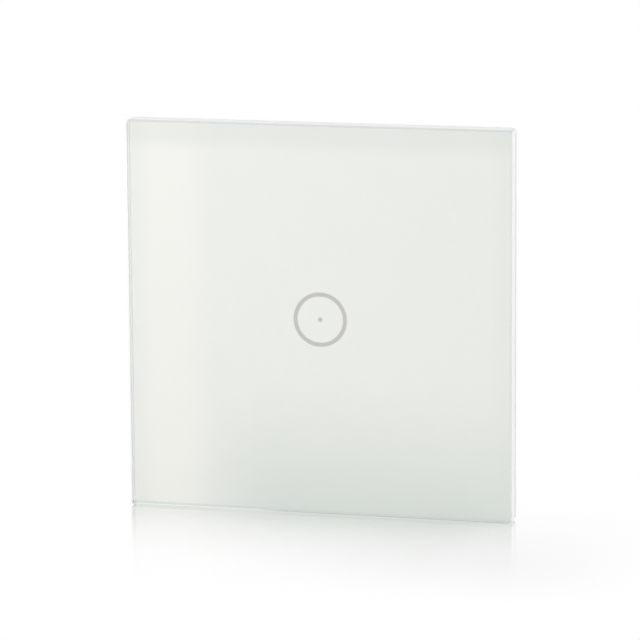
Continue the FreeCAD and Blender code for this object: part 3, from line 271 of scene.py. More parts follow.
def laminate_group():
    """Solder resist over the weave of a board's laminate, a little blotched."""
    group, given, out = new_group("resist_on_laminate", [COLOUR_INPUT], [COLOUR_OUTPUT, HEIGHT_OUTPUT])
    place = object_place(group)
    threads = []
    for direction in ("X", "Z"):
        wave = add_node(group, "ShaderNodeTexWave", bands_direction=direction)
        set_inputs(wave, Scale=320.0, Distortion=0.4)
        wire(group, place, wave.inputs["Vector"])
        threads.append(wave.outputs["Fac"])
    weave = product(group, *threads)
    blotches = noise(group, place, 220.0, Detail=3.0)
    gain = maths(group, "ADD", product(group, weave, 0.12), product(group, blotches, 0.3))
    colour = brightened(group, given.outputs["Color"], maths(group, "ADD", gain, 0.8))
    wire(group, colour, out.inputs["Color"])
    wire(group, weave, out.inputs["Height"])
    return group


MOULDED = moulding_group()
WORKED = metal_group()
LAMINATE = laminate_group()
METAL_LINE_DEPTH = 0.002
WEAVE_DEPTH = 0.01


def plain_material(name):
    """A material with nothing but its principled shader."""
    material = bpy.data.materials.new(name)
    material.use_nodes = True
    tree = material.node_tree
    shader = next(node for node in tree.nodes if node.type == "BSDF_PRINCIPLED")
    output = next(node for node in tree.nodes if node.type == "OUTPUT_MATERIAL")
    return material, tree, shader, output


def surfaced(name, group, colour, depth_mm, effects, bump_strength=1.0, **shader_values):
    """A material whose colour and bump come from a shared group, and its roughness if the group has one."""
    material, tree, shader, _ = plain_material(name)
    surface = add_node(tree, "ShaderNodeGroup", node_tree=group)
    set_inputs(surface, Color=(*colour, 1), **effects)
    wire(tree, surface.outputs["Color"], shader.inputs["Base Color"])
    if "Roughness" in surface.outputs:
        wire(tree, surface.outputs["Roughness"], shader.inputs["Roughness"])
    bump = set_inputs(add_node(tree, "ShaderNodeBump"), Strength=bump_strength, Distance=depth_mm * MM)
    wire(tree, surface.outputs["Height"], bump.inputs["Height"])
    wire(tree, bump.outputs["Normal"], shader.inputs["Normal"])
    set_inputs(shader, **shader_values)
    material.diffuse_color = (*colour, 1)
    return material


def plastic(name, colour, roughness, grain, depth, drift, **values):
    effects = {"Roughness": roughness, "Grain Size": grain, "Tone Drift": drift}
    return surfaced(name, MOULDED, colour, depth, effects, **values)


def metal(name, colour, roughness, stretch, dulling):
    effects = {"Roughness": roughness, "Line Stretch": stretch, "Dulling": dulling}
    return surfaced(name, WORKED, colour, METAL_LINE_DEPTH, effects, Metallic=1.0)


def board_resist(name, colour):
    return surfaced(name, LAMINATE, colour, WEAVE_DEPTH, {}, 0.5, Roughness=0.28)


GLASS_INDEX = 1.52
FROST_INDEX = 1.3
# Painted shade and light on the glass's edges: the grey is for the top arris, and the white, which is also
# the frost on all the sides, is for the left arris.
TOP_ARRIS_SHADE_GREY = (0.72, 0.74, 0.73, 1)
FROST_AND_PAINTED_LIGHT_WHITE = (0.935, 0.945, 0.94, 1)
LEFT_ARRIS_LIGHT_SHARE = 0.9
SIDE_FROST = 0.85


def panel_glass_material():
    """Clear glass, faintly green. Its top arris has a grey ground finish, which is painted shade, and its
    left arris a frosted white, which is painted light; each is picked by the way the arris faces. Its sides
    all round are frosted lightly. Light for what lies behind it passes straight."""
    material, tree, shader, output = plain_material("panel_glass")
    set_inputs(shader, Base_Color=(0.965, 0.985, 0.98, 1), Roughness=0.0, IOR=GLASS_INDEX,
               Transmission_Weight=1.0, Specular_Tint=(1.0, 0.7, 0.75, 1))
    axes = split_axes(tree, add_node(tree, "ShaderNodeNewGeometry").outputs["True Normal"])
    aside, rise = axes["X"], axes["Z"]
    top_arris_shade_mask = maths(tree, "SUBTRACT", ramp(tree, rise, 0.4, 0.45), ramp(tree, rise, 0.85, 0.9))
    left = maths(tree, "SUBTRACT", ramp(tree, aside, -0.4, -0.45), ramp(tree, aside, -0.85, -0.9))
    square = highest(tree, maths(tree, "ABSOLUTE", aside), maths(tree, "ABSOLUTE", rise))
    sides = ramp(tree, square, 0.9, 0.95)
    frosting = highest(tree, product(tree, left, LEFT_ARRIS_LIGHT_SHARE), product(tree, sides, SIDE_FROST))
    speckle = noise(tree, object_place(tree), 4000.0, Detail=1.0)
    # Painted shade on the top arris and painted light on the left arris, chosen by the way each faces; the
    # sides' frost uses the same white.
    top_arris_shade, frost_and_painted_light = [
        set_inputs(add_node(tree, "ShaderNodeBsdfPrincipled"), Base_Color=colour, IOR=FROST_INDEX)
        for colour in (TOP_ARRIS_SHADE_GREY, FROST_AND_PAINTED_LIGHT_WHITE)]
    for finish in (top_arris_shade, frost_and_painted_light):
        wire(tree, ramp(tree, speckle, -0.6, 1.4), finish.inputs["Roughness"])
    passing = set_inputs(add_node(tree, "ShaderNodeBsdfTransparent"), Color=(0.955, 0.972, 0.957, 1))
    path = add_node(tree, "ShaderNodeLightPath")
    soft = highest(tree, path.outputs["Is Shadow Ray"], path.outputs["Is Diffuse Ray"])
    body = mixed(tree, top_arris_shade_mask, shader.outputs[0], top_arris_shade.outputs[0])
    body = mixed(tree, frosting, body, frost_and_painted_light.outputs[0])
    wire(tree, mixed(tree, soft, body, passing.outputs[0]), output.inputs["Surface"])
    return material


# The numbers of a plastic are its roughness, grain size in mm, grain depth in mm and drift of tone.
# Those of a metal are its roughness, how finely its lines are drawn along X, Y and Z, and its dulling.
SLOT_MATERIALS = {
    "panel_glass": panel_glass_material(),
    "white_print": plastic("white_print", (0.815, 0.835, 0.8), 0.6, 0.15, 0.002, 0.006),
    "symbol_ink": plastic("symbol_ink", (0.49, 0.51, 0.475), 0.55, 0.12, 0.002, 0.02),
    "foam_tape": plastic("foam_tape", (0.9, 0.9, 0.88), 0.8, 0.3, 0.05, 0.06),
    "white_plastic": plastic("white_plastic", (0.84, 0.845, 0.82), 0.42, 0.18, 0.006, 0.02),
    "housing_plastic": plastic("housing_plastic", (0.72, 0.725, 0.7), 0.5, 0.22, 0.012, 0.03),
    "plate_steel": metal("plate_steel", (0.62, 0.62, 0.6), 0.34, (300.0, 300.0, 5000.0), 0.16),
    "spring_steel": metal("spring_steel", (0.6, 0.6, 0.59), 0.2, (900.0, 9000.0, 900.0), 0.08),
    "screw_steel": metal("screw_steel", (0.66, 0.65, 0.62), 0.26, (2500.0, 2500.0, 2500.0), 0.1),
    "clear_plastic": plastic("clear_plastic", (0.9, 0.92, 0.91), 0.22, 0.2, 0.003, 0.02,
                             Transmission_Weight=0.85),
    "circuit_board": board_resist("circuit_board", (0.012, 0.13, 0.045)),
    "led_body": plastic("led_body", (0.85, 0.82, 0.6), 0.3, 0.1, 0.002, 0.03, Coat_Weight=0.6),
    "chip_black": plastic("chip_black", (0.022, 0.022, 0.024), 0.5, 0.12, 0.006, 0.15),
    "shield_metal": metal("shield_metal", (0.7, 0.69, 0.66), 0.36, (800.0, 800.0, 800.0), 0.2),
    "header_plastic": plastic("header_plastic", (0.02, 0.02, 0.023), 0.4, 0.15, 0.004, 0.1),
    "tinned_pin": metal("tinned_pin", (0.72, 0.71, 0.68), 0.24, (2000.0, 2000.0, 2000.0), 0.14),
    "film_case": plastic("film_case", (0.78, 0.5, 0.05), 0.36, 0.3, 0.01, 0.04),
    "can_sleeve": plastic("can_sleeve", (0.03, 0.035, 0.07), 0.3, 0.4, 0.004, 0.08, Coat_Weight=0.4),
    "ferrite": plastic("ferrite", (0.06, 0.06, 0.065), 0.65, 0.15, 0.03, 0.2),
    "copper_wire": metal("copper_wire", (0.62, 0.22, 0.09), 0.25, (2500.0, 2500.0, 2500.0), 0.12),
    "varistor_coat": plastic("varistor_coat", (0.03, 0.12, 0.42), 0.35, 0.6, 0.05, 0.08, Coat_Weight=0.3),
    "resistor_body": plastic("resistor_body", (0.12, 0.36, 0.32), 0.42, 0.3, 0.02, 0.06),
    "relay_plastic": plastic("relay_plastic", (0.012, 0.045, 0.17), 0.32, 0.2, 0.004, 0.05),
    "spool_plastic": plastic("spool_plastic", (0.7, 0.68, 0.6), 0.45, 0.2, 0.006, 0.04),
    "relay_iron": metal("relay_iron", (0.52, 0.52, 0.51), 0.32, (1500.0, 1500.0, 1500.0), 0.16),
    "contact_brass": metal("contact_brass", (0.72, 0.5, 0.24), 0.24, (1200.0, 1200.0, 6000.0), 0.12),
    "terminal_plastic": plastic("terminal_plastic", (0.5, 0.51, 0.51), 0.45, 0.2, 0.01, 0.04),
    "terminal_metal": metal("terminal_metal", (0.7, 0.6, 0.38), 0.28, (1500.0, 1500.0, 6000.0), 0.14),
}

TRACK_MATERIAL = board_resist("track_resist", (0.035, 0.27, 0.09))


def dress_nodes():
    """Give every CAD node the finish of its slot."""
    for entry in frame["record"]["subparts"]:
        node = NODES[entry["node"]]
        node.data.materials.clear()
        node.data.materials.append(SLOT_MATERIALS[entry["material_slot"]])


# Mesh helpers

SHARP_ANGLE = math.radians(40)


def new_piece(name, mesh_maker, slot, body):
    """Build one piece from a bmesh function and set it on its body."""
    form = bmesh.new()
    mesh_maker(form)
    bmesh.ops.recalc_face_normals(form, faces=form.faces)
    mesh = bpy.data.meshes.new(name)
    form.to_mesh(mesh)
    form.free()
    piece = bpy.data.objects.new(name, mesh)
    bpy.context.scene.collection.objects.link(piece)
    mesh.materials.append(SLOT_MATERIALS[slot])
    mesh.shade_smooth()
    mesh.set_sharp_from_angle(angle=SHARP_ANGLE)
    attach(piece, body)
    return piece


def rounded_square(half, corner, flat_steps, bend_steps):
    """Points of a rounded square, anticlockwise as seen by X and Z."""
    points = []
    flat = half - corner
    for quarter in range(4):
        turn = Matrix.Rotation(math.radians(90 * quarter), 2)
        for step in range(flat_steps):
            points.append(turn @ Vector((-flat + 2 * flat * step / flat_steps, -half)))
        for step in range(bend_steps):
            angle = math.radians(-90 + 90 * step / bend_steps)
            points.append(turn @ Vector((flat + corner * math.cos(angle), -flat + corner * math.sin(angle))))
    return points


def circle_like(points, radius):
    """Points of a circle at the same angles as other points about the middle."""
    return [point.normalized() * radius for point in points]


def band(form, first, second):
    """Faces between two closed rings of vertices."""
    count = len(first)
    for index in range(count):
        after = (index + 1) % count
        form.faces.new((first[index], first[after], second[after], second[index]))


def ring_solid(form, inner, outer, front, back):
    """A flat solid between two loops, from its front face to its back face."""
    loops = []
    for face in (front, back):
        for loop in (inner, outer):
            loops.append([form.verts.new((point.x, face, point.y)) for point in loop])
    for first, second in ((0, 1), (1, 3), (3, 2), (2, 0)):
        band(form, loops[first], loops[second])


def disc_solid(form, loop, front, back):
    """A flat solid inside one loop."""
    faces = [[form.verts.new((point.x, face, point.y)) for point in loop] for face in (front, back)]
    for ring in faces:
        form.faces.new(ring)
    band(form, *faces)


# Print on the back of the glass

RING_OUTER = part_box("touch_symbol")[1].x
RING_INNER = RING_OUTER - 0.9 * MM
DOT_RADIUS = 0.5 * MM
FILM_LOW, FILM_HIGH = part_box("printed_film")
INK_FRONT = FILM_LOW.y - 0.02 * MM
FILM_CORNER = 0.8 * MM


def circle(radius, steps=96):
    return [Vector((math.cos(math.tau * step / steps), math.sin(math.tau * step / steps))) * radius
            for step in range(steps)]


def printed_film():
    """White print, bonded to the glass, so its face lies just inside it."""
    outline = rounded_square(FILM_HIGH.x, FILM_CORNER, 24, 6)

    def build(form):
        ring_solid(form, circle_like(outline, RING_OUTER), outline, INK_FRONT, FILM_HIGH.y)
        ring_solid(form, circle(DOT_RADIUS), circle(RING_INNER), INK_FRONT, FILM_HIGH.y)
    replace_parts(new_piece("white_print_layer", build, "white_print", "front_panel"), "printed_film")


def touch_symbol():
    """Grey ring and dot, as deep as the white print round them."""
    def build(form):
        ring_solid(form, circle(RING_INNER), circle(RING_OUTER), INK_FRONT, FILM_HIGH.y)
        disc_solid(form, circle(DOT_RADIUS, 32), INK_FRONT, FILM_HIGH.y)
    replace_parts(new_piece("symbol_ink_layer", build, "symbol_ink", "front_panel"), "touch_symbol")


# Shapes of the added pieces, in millimetres

def place_points(form, points):
    return [form.verts.new(Vector(point) * MM) for point in points]


def skin(form, rings, closed_along=False):
    """A surface over rings of vertices, one after the other."""
    for first, second in zip(rings, rings[1:] + rings[:1] if closed_along else rings[1:]):
        band(form, first, second)
    if not closed_along:
        form.faces.new(rings[0])
        form.faces.new(rings[-1])


def lathe(form, centre, profile, axis="y", steps=20, hollow=False):
    """A body turned from pairs of radius and place along its axis. A hollow one's profile is a loop."""
    rings = []
    for radius, along in profile:
        points = []
        for step in range(steps):
            angle = math.tau * step / steps
            side = centre[0] + radius * math.cos(angle)
            across = centre[1] + radius * math.sin(angle)
            points.append((side, along, across) if axis == "y" else (side, across, along))
        rings.append(place_points(form, points))
    skin(form, rings, hollow)


def brick(form, low, high, softness=0.08):
    """A block with softened edges."""
    made = bmesh.ops.create_cube(form, size=1.0)["verts"]
    for vert in made:
        corner = [start + (end - start) * (part + 0.5) for start, end, part in zip(low, high, vert.co)]
        vert.co = Vector(corner) * MM
    edges = list({edge for vert in made for edge in vert.link_edges})
    bmesh.ops.bevel(form, geom=edges, offset=softness * MM, segments=2, affect="EDGES", profile=0.5)


def sweep(form, points, radius, sides=8, closed=False):
    """A round wire along points."""
    spots = [Vector(point) for point in points]
    rings = []
    side = (spots[1] - spots[0]).orthogonal()
    last = len(spots) - 1
    for index, spot in enumerate(spots):
        before = spots[index - 1] if index or closed else spot
        after = spots[(index + 1) % len(spots)] if index < last or closed else spot
        ahead = (after - before).normalized()
        side = (side - ahead * side.dot(ahead)).normalized()
        other = ahead.cross(side)
        angles = [math.tau * step / sides for step in range(sides)]
        rings.append(place_points(form, [spot + (side * math.cos(turn) + other * math.sin(turn)) * radius
                                         for turn in angles]))
    skin(form, rings, closed)


def ribbon(form, points, wide, face, top):
    """A flat strip along points of X and Z, which stands on a face."""
    spots = [Vector(point) for point in points]
    loops = []
    for index, spot in enumerate(spots):
        ahead = Vector((0, 0))
        if index:
            ahead += (spot - spots[index - 1]).normalized()
        if index < len(spots) - 1:
            ahead += (spots[index + 1] - spot).normalized()
        aside = Vector((-ahead.y, ahead.x)).normalized() * wide / 2
        corners = ((-1, face), (1, face), (1, top), (-1, top))
        loops.append(place_points(form, [(spot.x + way * aside.x, level, spot.y + way * aside.y)
                                         for way, level in corners]))
    skin(form, loops)


def slab(middle, half, near, far, softness=0.08):
    """A brick about a place, given half its size each way and its two levels."""
    low = (middle[0] - half[0], near, middle[1] - half[1])
    high = (middle[0] + half[0], far, middle[1] + half[1])
    return brick, low, high, softness


def turned_ring(centre, inner, outer, near, far, steps=32, axis="y"):
    """A ring of square section about a centre, between two levels."""
    return lathe, centre, [(inner, near), (outer, near), (outer, far), (inner, far)], axis, steps, True


def row(count, pitch):
    """Places along a row about zero."""
    return [(number - (count - 1) / 2) * pitch for number in range(count)]


def made_of(name, slot, body, *shapes):
    """One piece of several shapes, each given as its function and the values it is called with."""
    def build(form):
        for maker, *values in shapes:
            maker(form, *values)
    return new_piece(name, build, slot, body)


def mm_box(node):
    return [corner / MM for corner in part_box(node)]


# Circuit boards, with places in X and Z from the middle of the panel

TOUCH_FRONT, TOUCH_BACK = [corner.y for corner in mm_box("touch_board")]
POWER_FRONT, POWER_BACK = [corner.y for corner in mm_box("power_board")]
HEADER_PLACES = [(2.54 * count, -6.2) for count in (-2, -1, 0, 1, 2)]
# Two leads each of the filter capacitor, the choke, the fuse resistor, the storage capacitor and the varistor
LEAD_PLACES = [(-3.5, 16.4), (6.5, 16.4), (-1.9, 8.5), (3.1, 8.5), (7.0, -6.5), (7.0, 4.1), (12.4, 4.25),
               (12.4, 7.75), (15.0, -5.5), (15.0, -0.5)]
RELAY_PLACES = [(-14.5, -2.5), (-14.5, 12.2), (-8.5, -2.5), (-8.5, 12.2)]
TONGUE_PLACES = [(-10.0, -8.0), (0.0, -8.0), (10.0, -8.0)]
LAMP_SIDES = (-3.92, 3.92)
LEAD_RADIUS = 0.33
CAPACITOR_CENTRE = (12.4, 6.0)
RESISTOR_ACROSS, RESISTOR_LEVEL = 7.0, 10.4
RESISTOR_RADIUS = 2.0
OUTLINE_GAP = 0.4
PRINT_REACH = 19.0
PRINT_WIDE = 0.16
PRINT_RISE = 0.03
TRACK_RISE = 0.04
TRACK_BITE = 0.01
PART_TALL = 0.5
CAP_SHIFT = 0.62
CAP_PROUD = 0.01


def solder(place, face, away, pad, lead):
    """The cone of solder round a lead, away from the face of its board."""
    profile = [(pad, 0.0), (pad - 0.05, 0.06), (lead + 0.24, 0.18), (lead + 0.06, 0.36), (lead + 0.02, 0.52),
               (0.05, 0.56)]
    return lathe, place, [(radius, face + away * rise) for radius, rise in profile]


def solder_joints():
    """Solder where leads, relay pins, terminal tongues and header pins come through the boards."""
    joints = []
    for places, face, away, pad, lead in (
            (LEAD_PLACES, POWER_FRONT, -1, 0.9, 0.3), (RELAY_PLACES, POWER_FRONT, -1, 1.1, 0.4),
            (TONGUE_PLACES, POWER_FRONT, -1, 1.3, 0.5), (HEADER_PLACES, POWER_BACK, 1, 0.8, 0.34)):
        joints += [solder(place, face, away, pad, lead) for place in places]
    made_of("power_board_solder", "tinned_pin", "root", *joints)
    made_of("touch_board_solder", "tinned_pin", "root",
            *[solder(place, TOUCH_FRONT, -1, 0.8, 0.34) for place in HEADER_PLACES])


def tinned_leads():
    """Tin on the leads between the board and the bodies. The fuse resistor's two leads are bent."""
    leads = [(sweep, [(across, POWER_FRONT - 0.4, up), (across, POWER_BACK + 0.42, up)], LEAD_RADIUS)
             for across, up in LEAD_PLACES]
    for body_end, up, way in ((3.2, 4.1, -1), (-5.6, -6.5, 1)):
        bent = [(POWER_BACK, up), (RESISTOR_LEVEL - 0.4, up), (RESISTOR_LEVEL - 0.12, up + way * 0.12),
                (RESISTOR_LEVEL, up + way * 0.4), (RESISTOR_LEVEL, body_end)]
        leads.append((sweep, [(RESISTOR_ACROSS, *place) for place in bent], LEAD_RADIUS))
    made_of("tinned_leads", "tinned_pin", "root", *leads)


def footprint_lines():
    """White outlines of the parts, as printed on the component sides, without lines near a board's edge."""
    for board, face, nodes in (
            ("touch_board", TOUCH_BACK, ("radio_board", "touch_chip", "pin_header")),
            ("power_board", POWER_BACK, ("filter_capacitor", "varistor", "fuse_resistor", "bridge_rectifier",
                                         "relay_case", "terminal_block", "choke_core", "storage_capacitor"))):
        lines = []
        for node in nodes:
            low, high = mm_box(node)
            left, right = low.x - OUTLINE_GAP, high.x + OUTLINE_GAP
            foot, head = low.z - OUTLINE_GAP, high.z + OUTLINE_GAP
            corners = [(left, foot), (right, foot), (right, head), (left, head)]
            for first, second in zip(corners, corners[1:] + corners[:1]):
                if max(map(abs, first + second)) < PRINT_REACH:
                    lines.append((ribbon, [first, second], PRINT_WIDE, face, face + PRINT_RISE))
        made_of(board + "_print", "white_print", "root", *lines)


def surface_parts(name, face, away, flat, upright):
    """Small parts with tinned ends, 1.6 mm long, that lie flat along X or upright along Z."""
    bodies, caps = [], []
    near, far = sorted((face, face + away * PART_TALL))
    for places, along in ((flat, Vector((1, 0))), (upright, Vector((0, 1)))):
        body_half = along * 0.77 + along.yx * 0.37
        cap_half = along * 0.2 + along.yx * 0.42
        for place in places:
            middle = Vector(place)
            bodies.append(slab(middle, body_half, near, far))
            for end in (-CAP_SHIFT, CAP_SHIFT):
                caps.append(slab(middle + along * end, cap_half, near - CAP_PROUD, far + CAP_PROUD))
    made_of(name + "_part_bodies", "spool_plastic", "root", *bodies)
    made_of(name + "_part_ends", "tinned_pin", "root", *caps)


def all_surface_parts():
    surface_parts("touch_board", TOUCH_BACK, 1,
                  [(-4.5, 14), (-4.5, 12.4), (-4.6, 1.5), (-15, -3), (-15, -4.6), (0, -12.5), (0, -14.1),
                   (17.5, 12)],
                  [(-16, 3.5), (-14.4, 3.5), (-12.8, 3.5), (-6.4, 3.6), (-11, -12), (-9.4, -12), (9, -12),
                   (10.6, -12)])
    surface_parts("power_board", POWER_FRONT, -1,
                  [(3.4, 12.6), (3.4, 11.2), (9, 0.6), (9, -1), (-3, -2.2), (-12, 7), (-12, 5.4),
                   (-5.8, 10.6)],
                  [(14.4, 10.6), (16, 10.6), (-4.6, 1.8), (-6.2, 1.8), (-12.5, 1.5), (2, 1.2)])


def tracks(name, wide, face, away, *runs):
    """Tracks under the green resist, which stand out a little from their board."""
    foot, top = face - away * TRACK_BITE, face + away * TRACK_RISE
    piece = made_of(name, "circuit_board", "root", *[(ribbon, run, wide, foot, top) for run in runs])
    piece.data.materials[0] = TRACK_MATERIAL


def board_tracks():
    tracks("touch_board_tracks", 0.4, TOUCH_BACK, 1,
           [(-8.3, 6.2), (-8.3, 2), (-5.08, -1.2), (-5.08, -5)],
           [(-9.3, 6.2), (-9.3, 1.2), (-2.54, -4), (-2.54, -5)],
           [(-10.3, 6.2), (-10.3, 0.4), (-13, -2.3), (-13, -12), (-11, -14)],
           [(-12, 8), (-17, 8), (-19, 6), (-19, -6)],
           [(-11, 10), (-11, 16), (-8, 19), (2, 19)],
           [(-6, 10), (-6, 15), (-4, 17), (6, 17)],
           [(2.54, -7.5), (2.54, -11), (5, -13.5), (12, -13.5)],
           [(5.08, -7.5), (8, -10.4), (15, -10.4), (19, -6.4), (19, 6)],
           [(0, -7.5), (0, -12)],
           [(-2.54, -7.5), (-4, -9), (-4, -17), (0, -19), (8, -19)])
    tracks("power_board_mains_tracks", 1.6, POWER_FRONT, -1,
           [(-8.5, 12.2), (-7.6, 7), (-7.6, 5), (-1, -1.6), (0, -8)],
           [(-14.5, 12.2), (-16, 10.7), (-16, -4.4), (-12.4, -8), (-10, -8)],
           [(10, -8), (8.5, -6.5), (7, -6.5)],
           [(15, -5.5), (12.5, -8), (10, -8)])
    tracks("power_board_fine_tracks", 0.5, POWER_FRONT, -1,
           [(12.4, 4.25), (10, 2), (6, 2)],
           [(12.4, 7.75), (12.4, 9)],
           [(3.1, 8.5), (5.5, 8.5)],
           [(-1.9, 8.5), (-1.9, 5.6), (2, 1.9)],
           [(-3.5, 16.4), (-6, 14), (-6, 11.2)],
           [(6.5, 16.4), (9, 14)],
           [(7, 4.1), (4, 4.1), (3, 3)],
           [(15, -0.5), (17, 1.5), (17, 9)])


def touch_chip_feet():
    """Six feet on each of the chip's four sides."""
    low, high = mm_box("touch_chip")
    middle = (low + high) / 2
    foot_rise, pitch = 0.16, 0.6
    feet = []
    for shift in row(6, pitch):
        for corner, way in ((low, -1), (high, 1)):
            for place, half in (((corner.x - way * 0.05, middle.z + shift), (0.25, 0.14)),
                                ((middle.x + shift, corner.z - way * 0.05), (0.14, 0.25))):
                feet.append(slab(place, half, TOUCH_BACK, TOUCH_BACK + foot_rise, 0.03))
    made_of("touch_chip_feet", "tinned_pin", "root", *feet)


def radio_board_details():
    """Pads round the edges of the radio board, its printed aerial, and black discs for the vents of its lid,
    which are painted shade in place of holes.
    """
    low, high = mm_box("radio_board")
    pads = []
    for shift in row(9, 1.5):
        up = shift + 2.35
        for edge, inward in ((low.x, 1), (high.x, -1)):
            pads.append(slab((edge - inward * 0.05, up), (0.35, 0.45), TOUCH_BACK, TOUCH_BACK + 0.3, 0.06))
            pads.append(slab((edge + inward * 0.425, up), (0.475, 0.35),
                             TOUCH_BACK + 0.02, high.y + 0.04, 0.02))
    made_of("radio_board_pads", "tinned_pin", "root", *pads)

    left, head, foot, pitch = low.x + 1.2, high.z - 0.8, high.z - 4.4, 2.1
    run = [(left, high.z - 5.6)]
    for number in range(5):
        start = left + number * pitch
        run += [(start, head), (start + pitch / 2, head), (start + pitch / 2, foot), (start + pitch, foot)]
    made_of("radio_aerial", "contact_brass", "root", (ribbon, run, 0.45, high.y - 0.01, high.y + 0.05))

    low, high = mm_box("radio_shield")
    middle = (low + high) / 2
    # Black discs stand for the lid's vent holes: painted shade, not openings.
    vent = [(0.5, high.y - 0.1), (0.5, high.y + 0.01), (0.1, high.y + 0.01)]
    made_of("radio_shield_vents", "chip_black", "root",
            *[(lathe, (middle.x + across, middle.z + up), vent)
              for across in (-3.5, 0, 3.5) for up in (-4, 0, 4)])


def first_leg_marks():
    """Spots of print that mark the first legs of three parts."""
    marks = []
    for node, away in (("touch_chip", 1), ("power_chip", -1), ("bridge_rectifier", 1)):
        low, high = mm_box(node)
        middle = (low + high) / 2
        face = high.y if away > 0 else low.y
        reach = (high.z - low.z) / 2 - 0.9
        spot = [(0.3, face - away * 0.02), (0.3, face + away * 0.02), (0.05, face + away * 0.02)]
        marks.append((lathe, (middle.x - reach, middle.z + reach), spot))
    made_of("first_leg_marks", "symbol_ink", "root", *marks)


def touch_board_front():
    """Lenses on the lamps, and the tinned ring under the touch spring."""
    face = mm_box("indicator_leds")[0].y
    lens = [(0.45, face + 0.02), (0.42, face - 0.06), (0.25, face - 0.12), (0.03, face - 0.14)]
    made_of("indicator_led_lenses", "clear_plastic", "root",
            *[(lathe, (across, up), lens) for across in LAMP_SIDES for up in LAMP_SIDES])
    made_of("touch_spring_pad", "tinned_pin", "root",
            turned_ring((0, 0), 3.2, 4.2, TOUCH_FRONT, TOUCH_FRONT - 0.05, 48))


# Components

def winding(name, node, thick, bore):
    """Turns of wire in place of a plain sleeve."""
    low, high = mm_box(node)
    middle = (low + high) / 2
    outer = (high.x - low.x) / 2
    room = high.y - low.y - thick
    turns = int(room / (thick * 1.04))
    steps = 20
    points = []
    for step in range(turns * steps + 1):
        angle = math.tau * step / steps
        points.append((middle.x + (outer - thick / 2) * math.cos(angle),
                       low.y + thick / 2 + room / turns * step / steps,
                       middle.z + (outer - thick / 2) * math.sin(angle)))
    sleeve = turned_ring((middle.x, middle.z), bore, outer - thick * 0.8, low.y, high.y)
    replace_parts(made_of(name, "copper_wire", "root", (sweep, points, thick / 2, 6), sleeve), node)


def storage_capacitor_details():
    """The bare top of the can with its crossed vent, drawn as black lines of painted shade in place of scored
    grooves, and the sleeve's beads at foot and head.
    """
    low, high = mm_box("storage_capacitor")
    radius, top = (high.x - low.x) / 2, high.y
    cap = [(radius - 0.6, top - 0.02), (radius - 0.65, top + 0.04), (radius - 1.1, top + 0.02),
           (0.1, top + 0.02)]
    made_of("storage_capacitor_top", "shield_metal", "root", (lathe, CAPACITOR_CENTRE, cap, "y", 40))
    across, up = CAPACITOR_CENTRE
    reach = 1.9
    # The vent's scored cross is drawn as black lines: painted shade in place of grooves.
    made_of("storage_capacitor_vent", "chip_black", "root",
            *[(ribbon, [(across - slant, up - reach), (across + slant, up + reach)], 0.14, top, top + 0.04)
              for slant in (-reach, reach)])
    for name, level in (("foot", 9.6), ("head", top - 0.35)):
        bead = [(radius - 0.1, level - 0.3), (radius + 0.08, level - 0.15), (radius + 0.08, level + 0.15),
                (radius - 0.1, level + 0.3)]
        made_of("storage_capacitor_bead_" + name, "can_sleeve", "root",
                (lathe, CAPACITOR_CENTRE, bead, "y", 40, True))


def resistor_bands():
    """Colour bands round the fuse resistor, which lies along Z."""
    for name, slot, places in (("dark", "chip_black", (-4.3, 1.6)), ("warm", "copper_wire", (-3.0, -1.7))):
        bands = [turned_ring((RESISTOR_ACROSS, RESISTOR_LEVEL), RESISTOR_RADIUS - 0.05,
                             RESISTOR_RADIUS + 0.03, place, place + 0.6, axis="z") for place in places]
        made_of("fuse_resistor_" + name + "_bands", slot, "root", *bands)


# Housing and carrier

CUP_HALF, CUP_CORNER = 24.0, 16.0
PARTING_LEVEL = 5.0
CARRIER_THICK = 1.0
LABEL_FIELD = 25.7
LABEL_FACE = LABEL_FIELD + 0.16
DIAGRAM_LEVELS = (LABEL_FACE - 0.01, LABEL_FACE + 0.04)


def housing_details():
    """The parting line of the moulding, and the label in its field at the back."""
    outline = [point / MM for point in rounded_square(CUP_HALF * MM, CUP_CORNER * MM, 4, 12)]
    run = [(point.x, PARTING_LEVEL, point.y) for point in outline]
    made_of("housing_parting_line", "housing_plastic", "root", (sweep, run, 0.1, 6, True))
    made_of("wiring_label", "white_print", "root",
            (brick, (-13.2, LABEL_FIELD - 0.02, -8.2), (13.2, LABEL_FACE, 2.2), 0.05))


def wiring_diagram():
    """Lines from the three wires to the switch and a lamp, with one to three dots in place of words."""
    lines = [[(-10, -6.4), (-10, -0.6), (-4, -0.6)],
             [(0, -6.4), (0, -2.2)],
             [(10, -1.6), (10, -0.6), (4, -0.6)],
             [(10, -6.4), (10, -4.6)],
             [(-4, 1.2), (4, 1.2), (4, -3.2), (-4, -3.2), (-4, 1.4)],
             [(-2.2, -0.9), (0.6, 0.5)],
             [(0.9, -0.9), (2.6, -0.9)],
             [(8.9, -4.2), (11.1, -2.0)],
             [(8.9, -2.0), (11.1, -4.2)]]
    foot, top = DIAGRAM_LEVELS
    drawing = [(ribbon, run, 0.25, foot, top) for run in lines]
    drawing.append(turned_ring((10, -3.1), 1.35, 1.6, foot, top))
    for across, dots in ((-10, 1), (0, 2), (10, 3)):
        drawing += [(lathe, (across + shift, -7.3), [(0.3, foot), (0.3, top), (0.05, top)])
                    for shift in row(dots, 0.9)]
    made_of("wiring_diagram", "chip_black", "root", *drawing)


def carrier_details():
    """Ejector marks on the back of the carrier's plate."""
    face = mm_box("panel_carrier")[0].y + CARRIER_THICK
    marks = [turned_ring((across, up), 1.3, 1.6, face - 0.02, face + 0.06, 28)
             for across in (-30, 30) for up in (-30, 0, 30)]
    made_of("carrier_ejector_marks", "white_plastic", "front_panel", *marks)


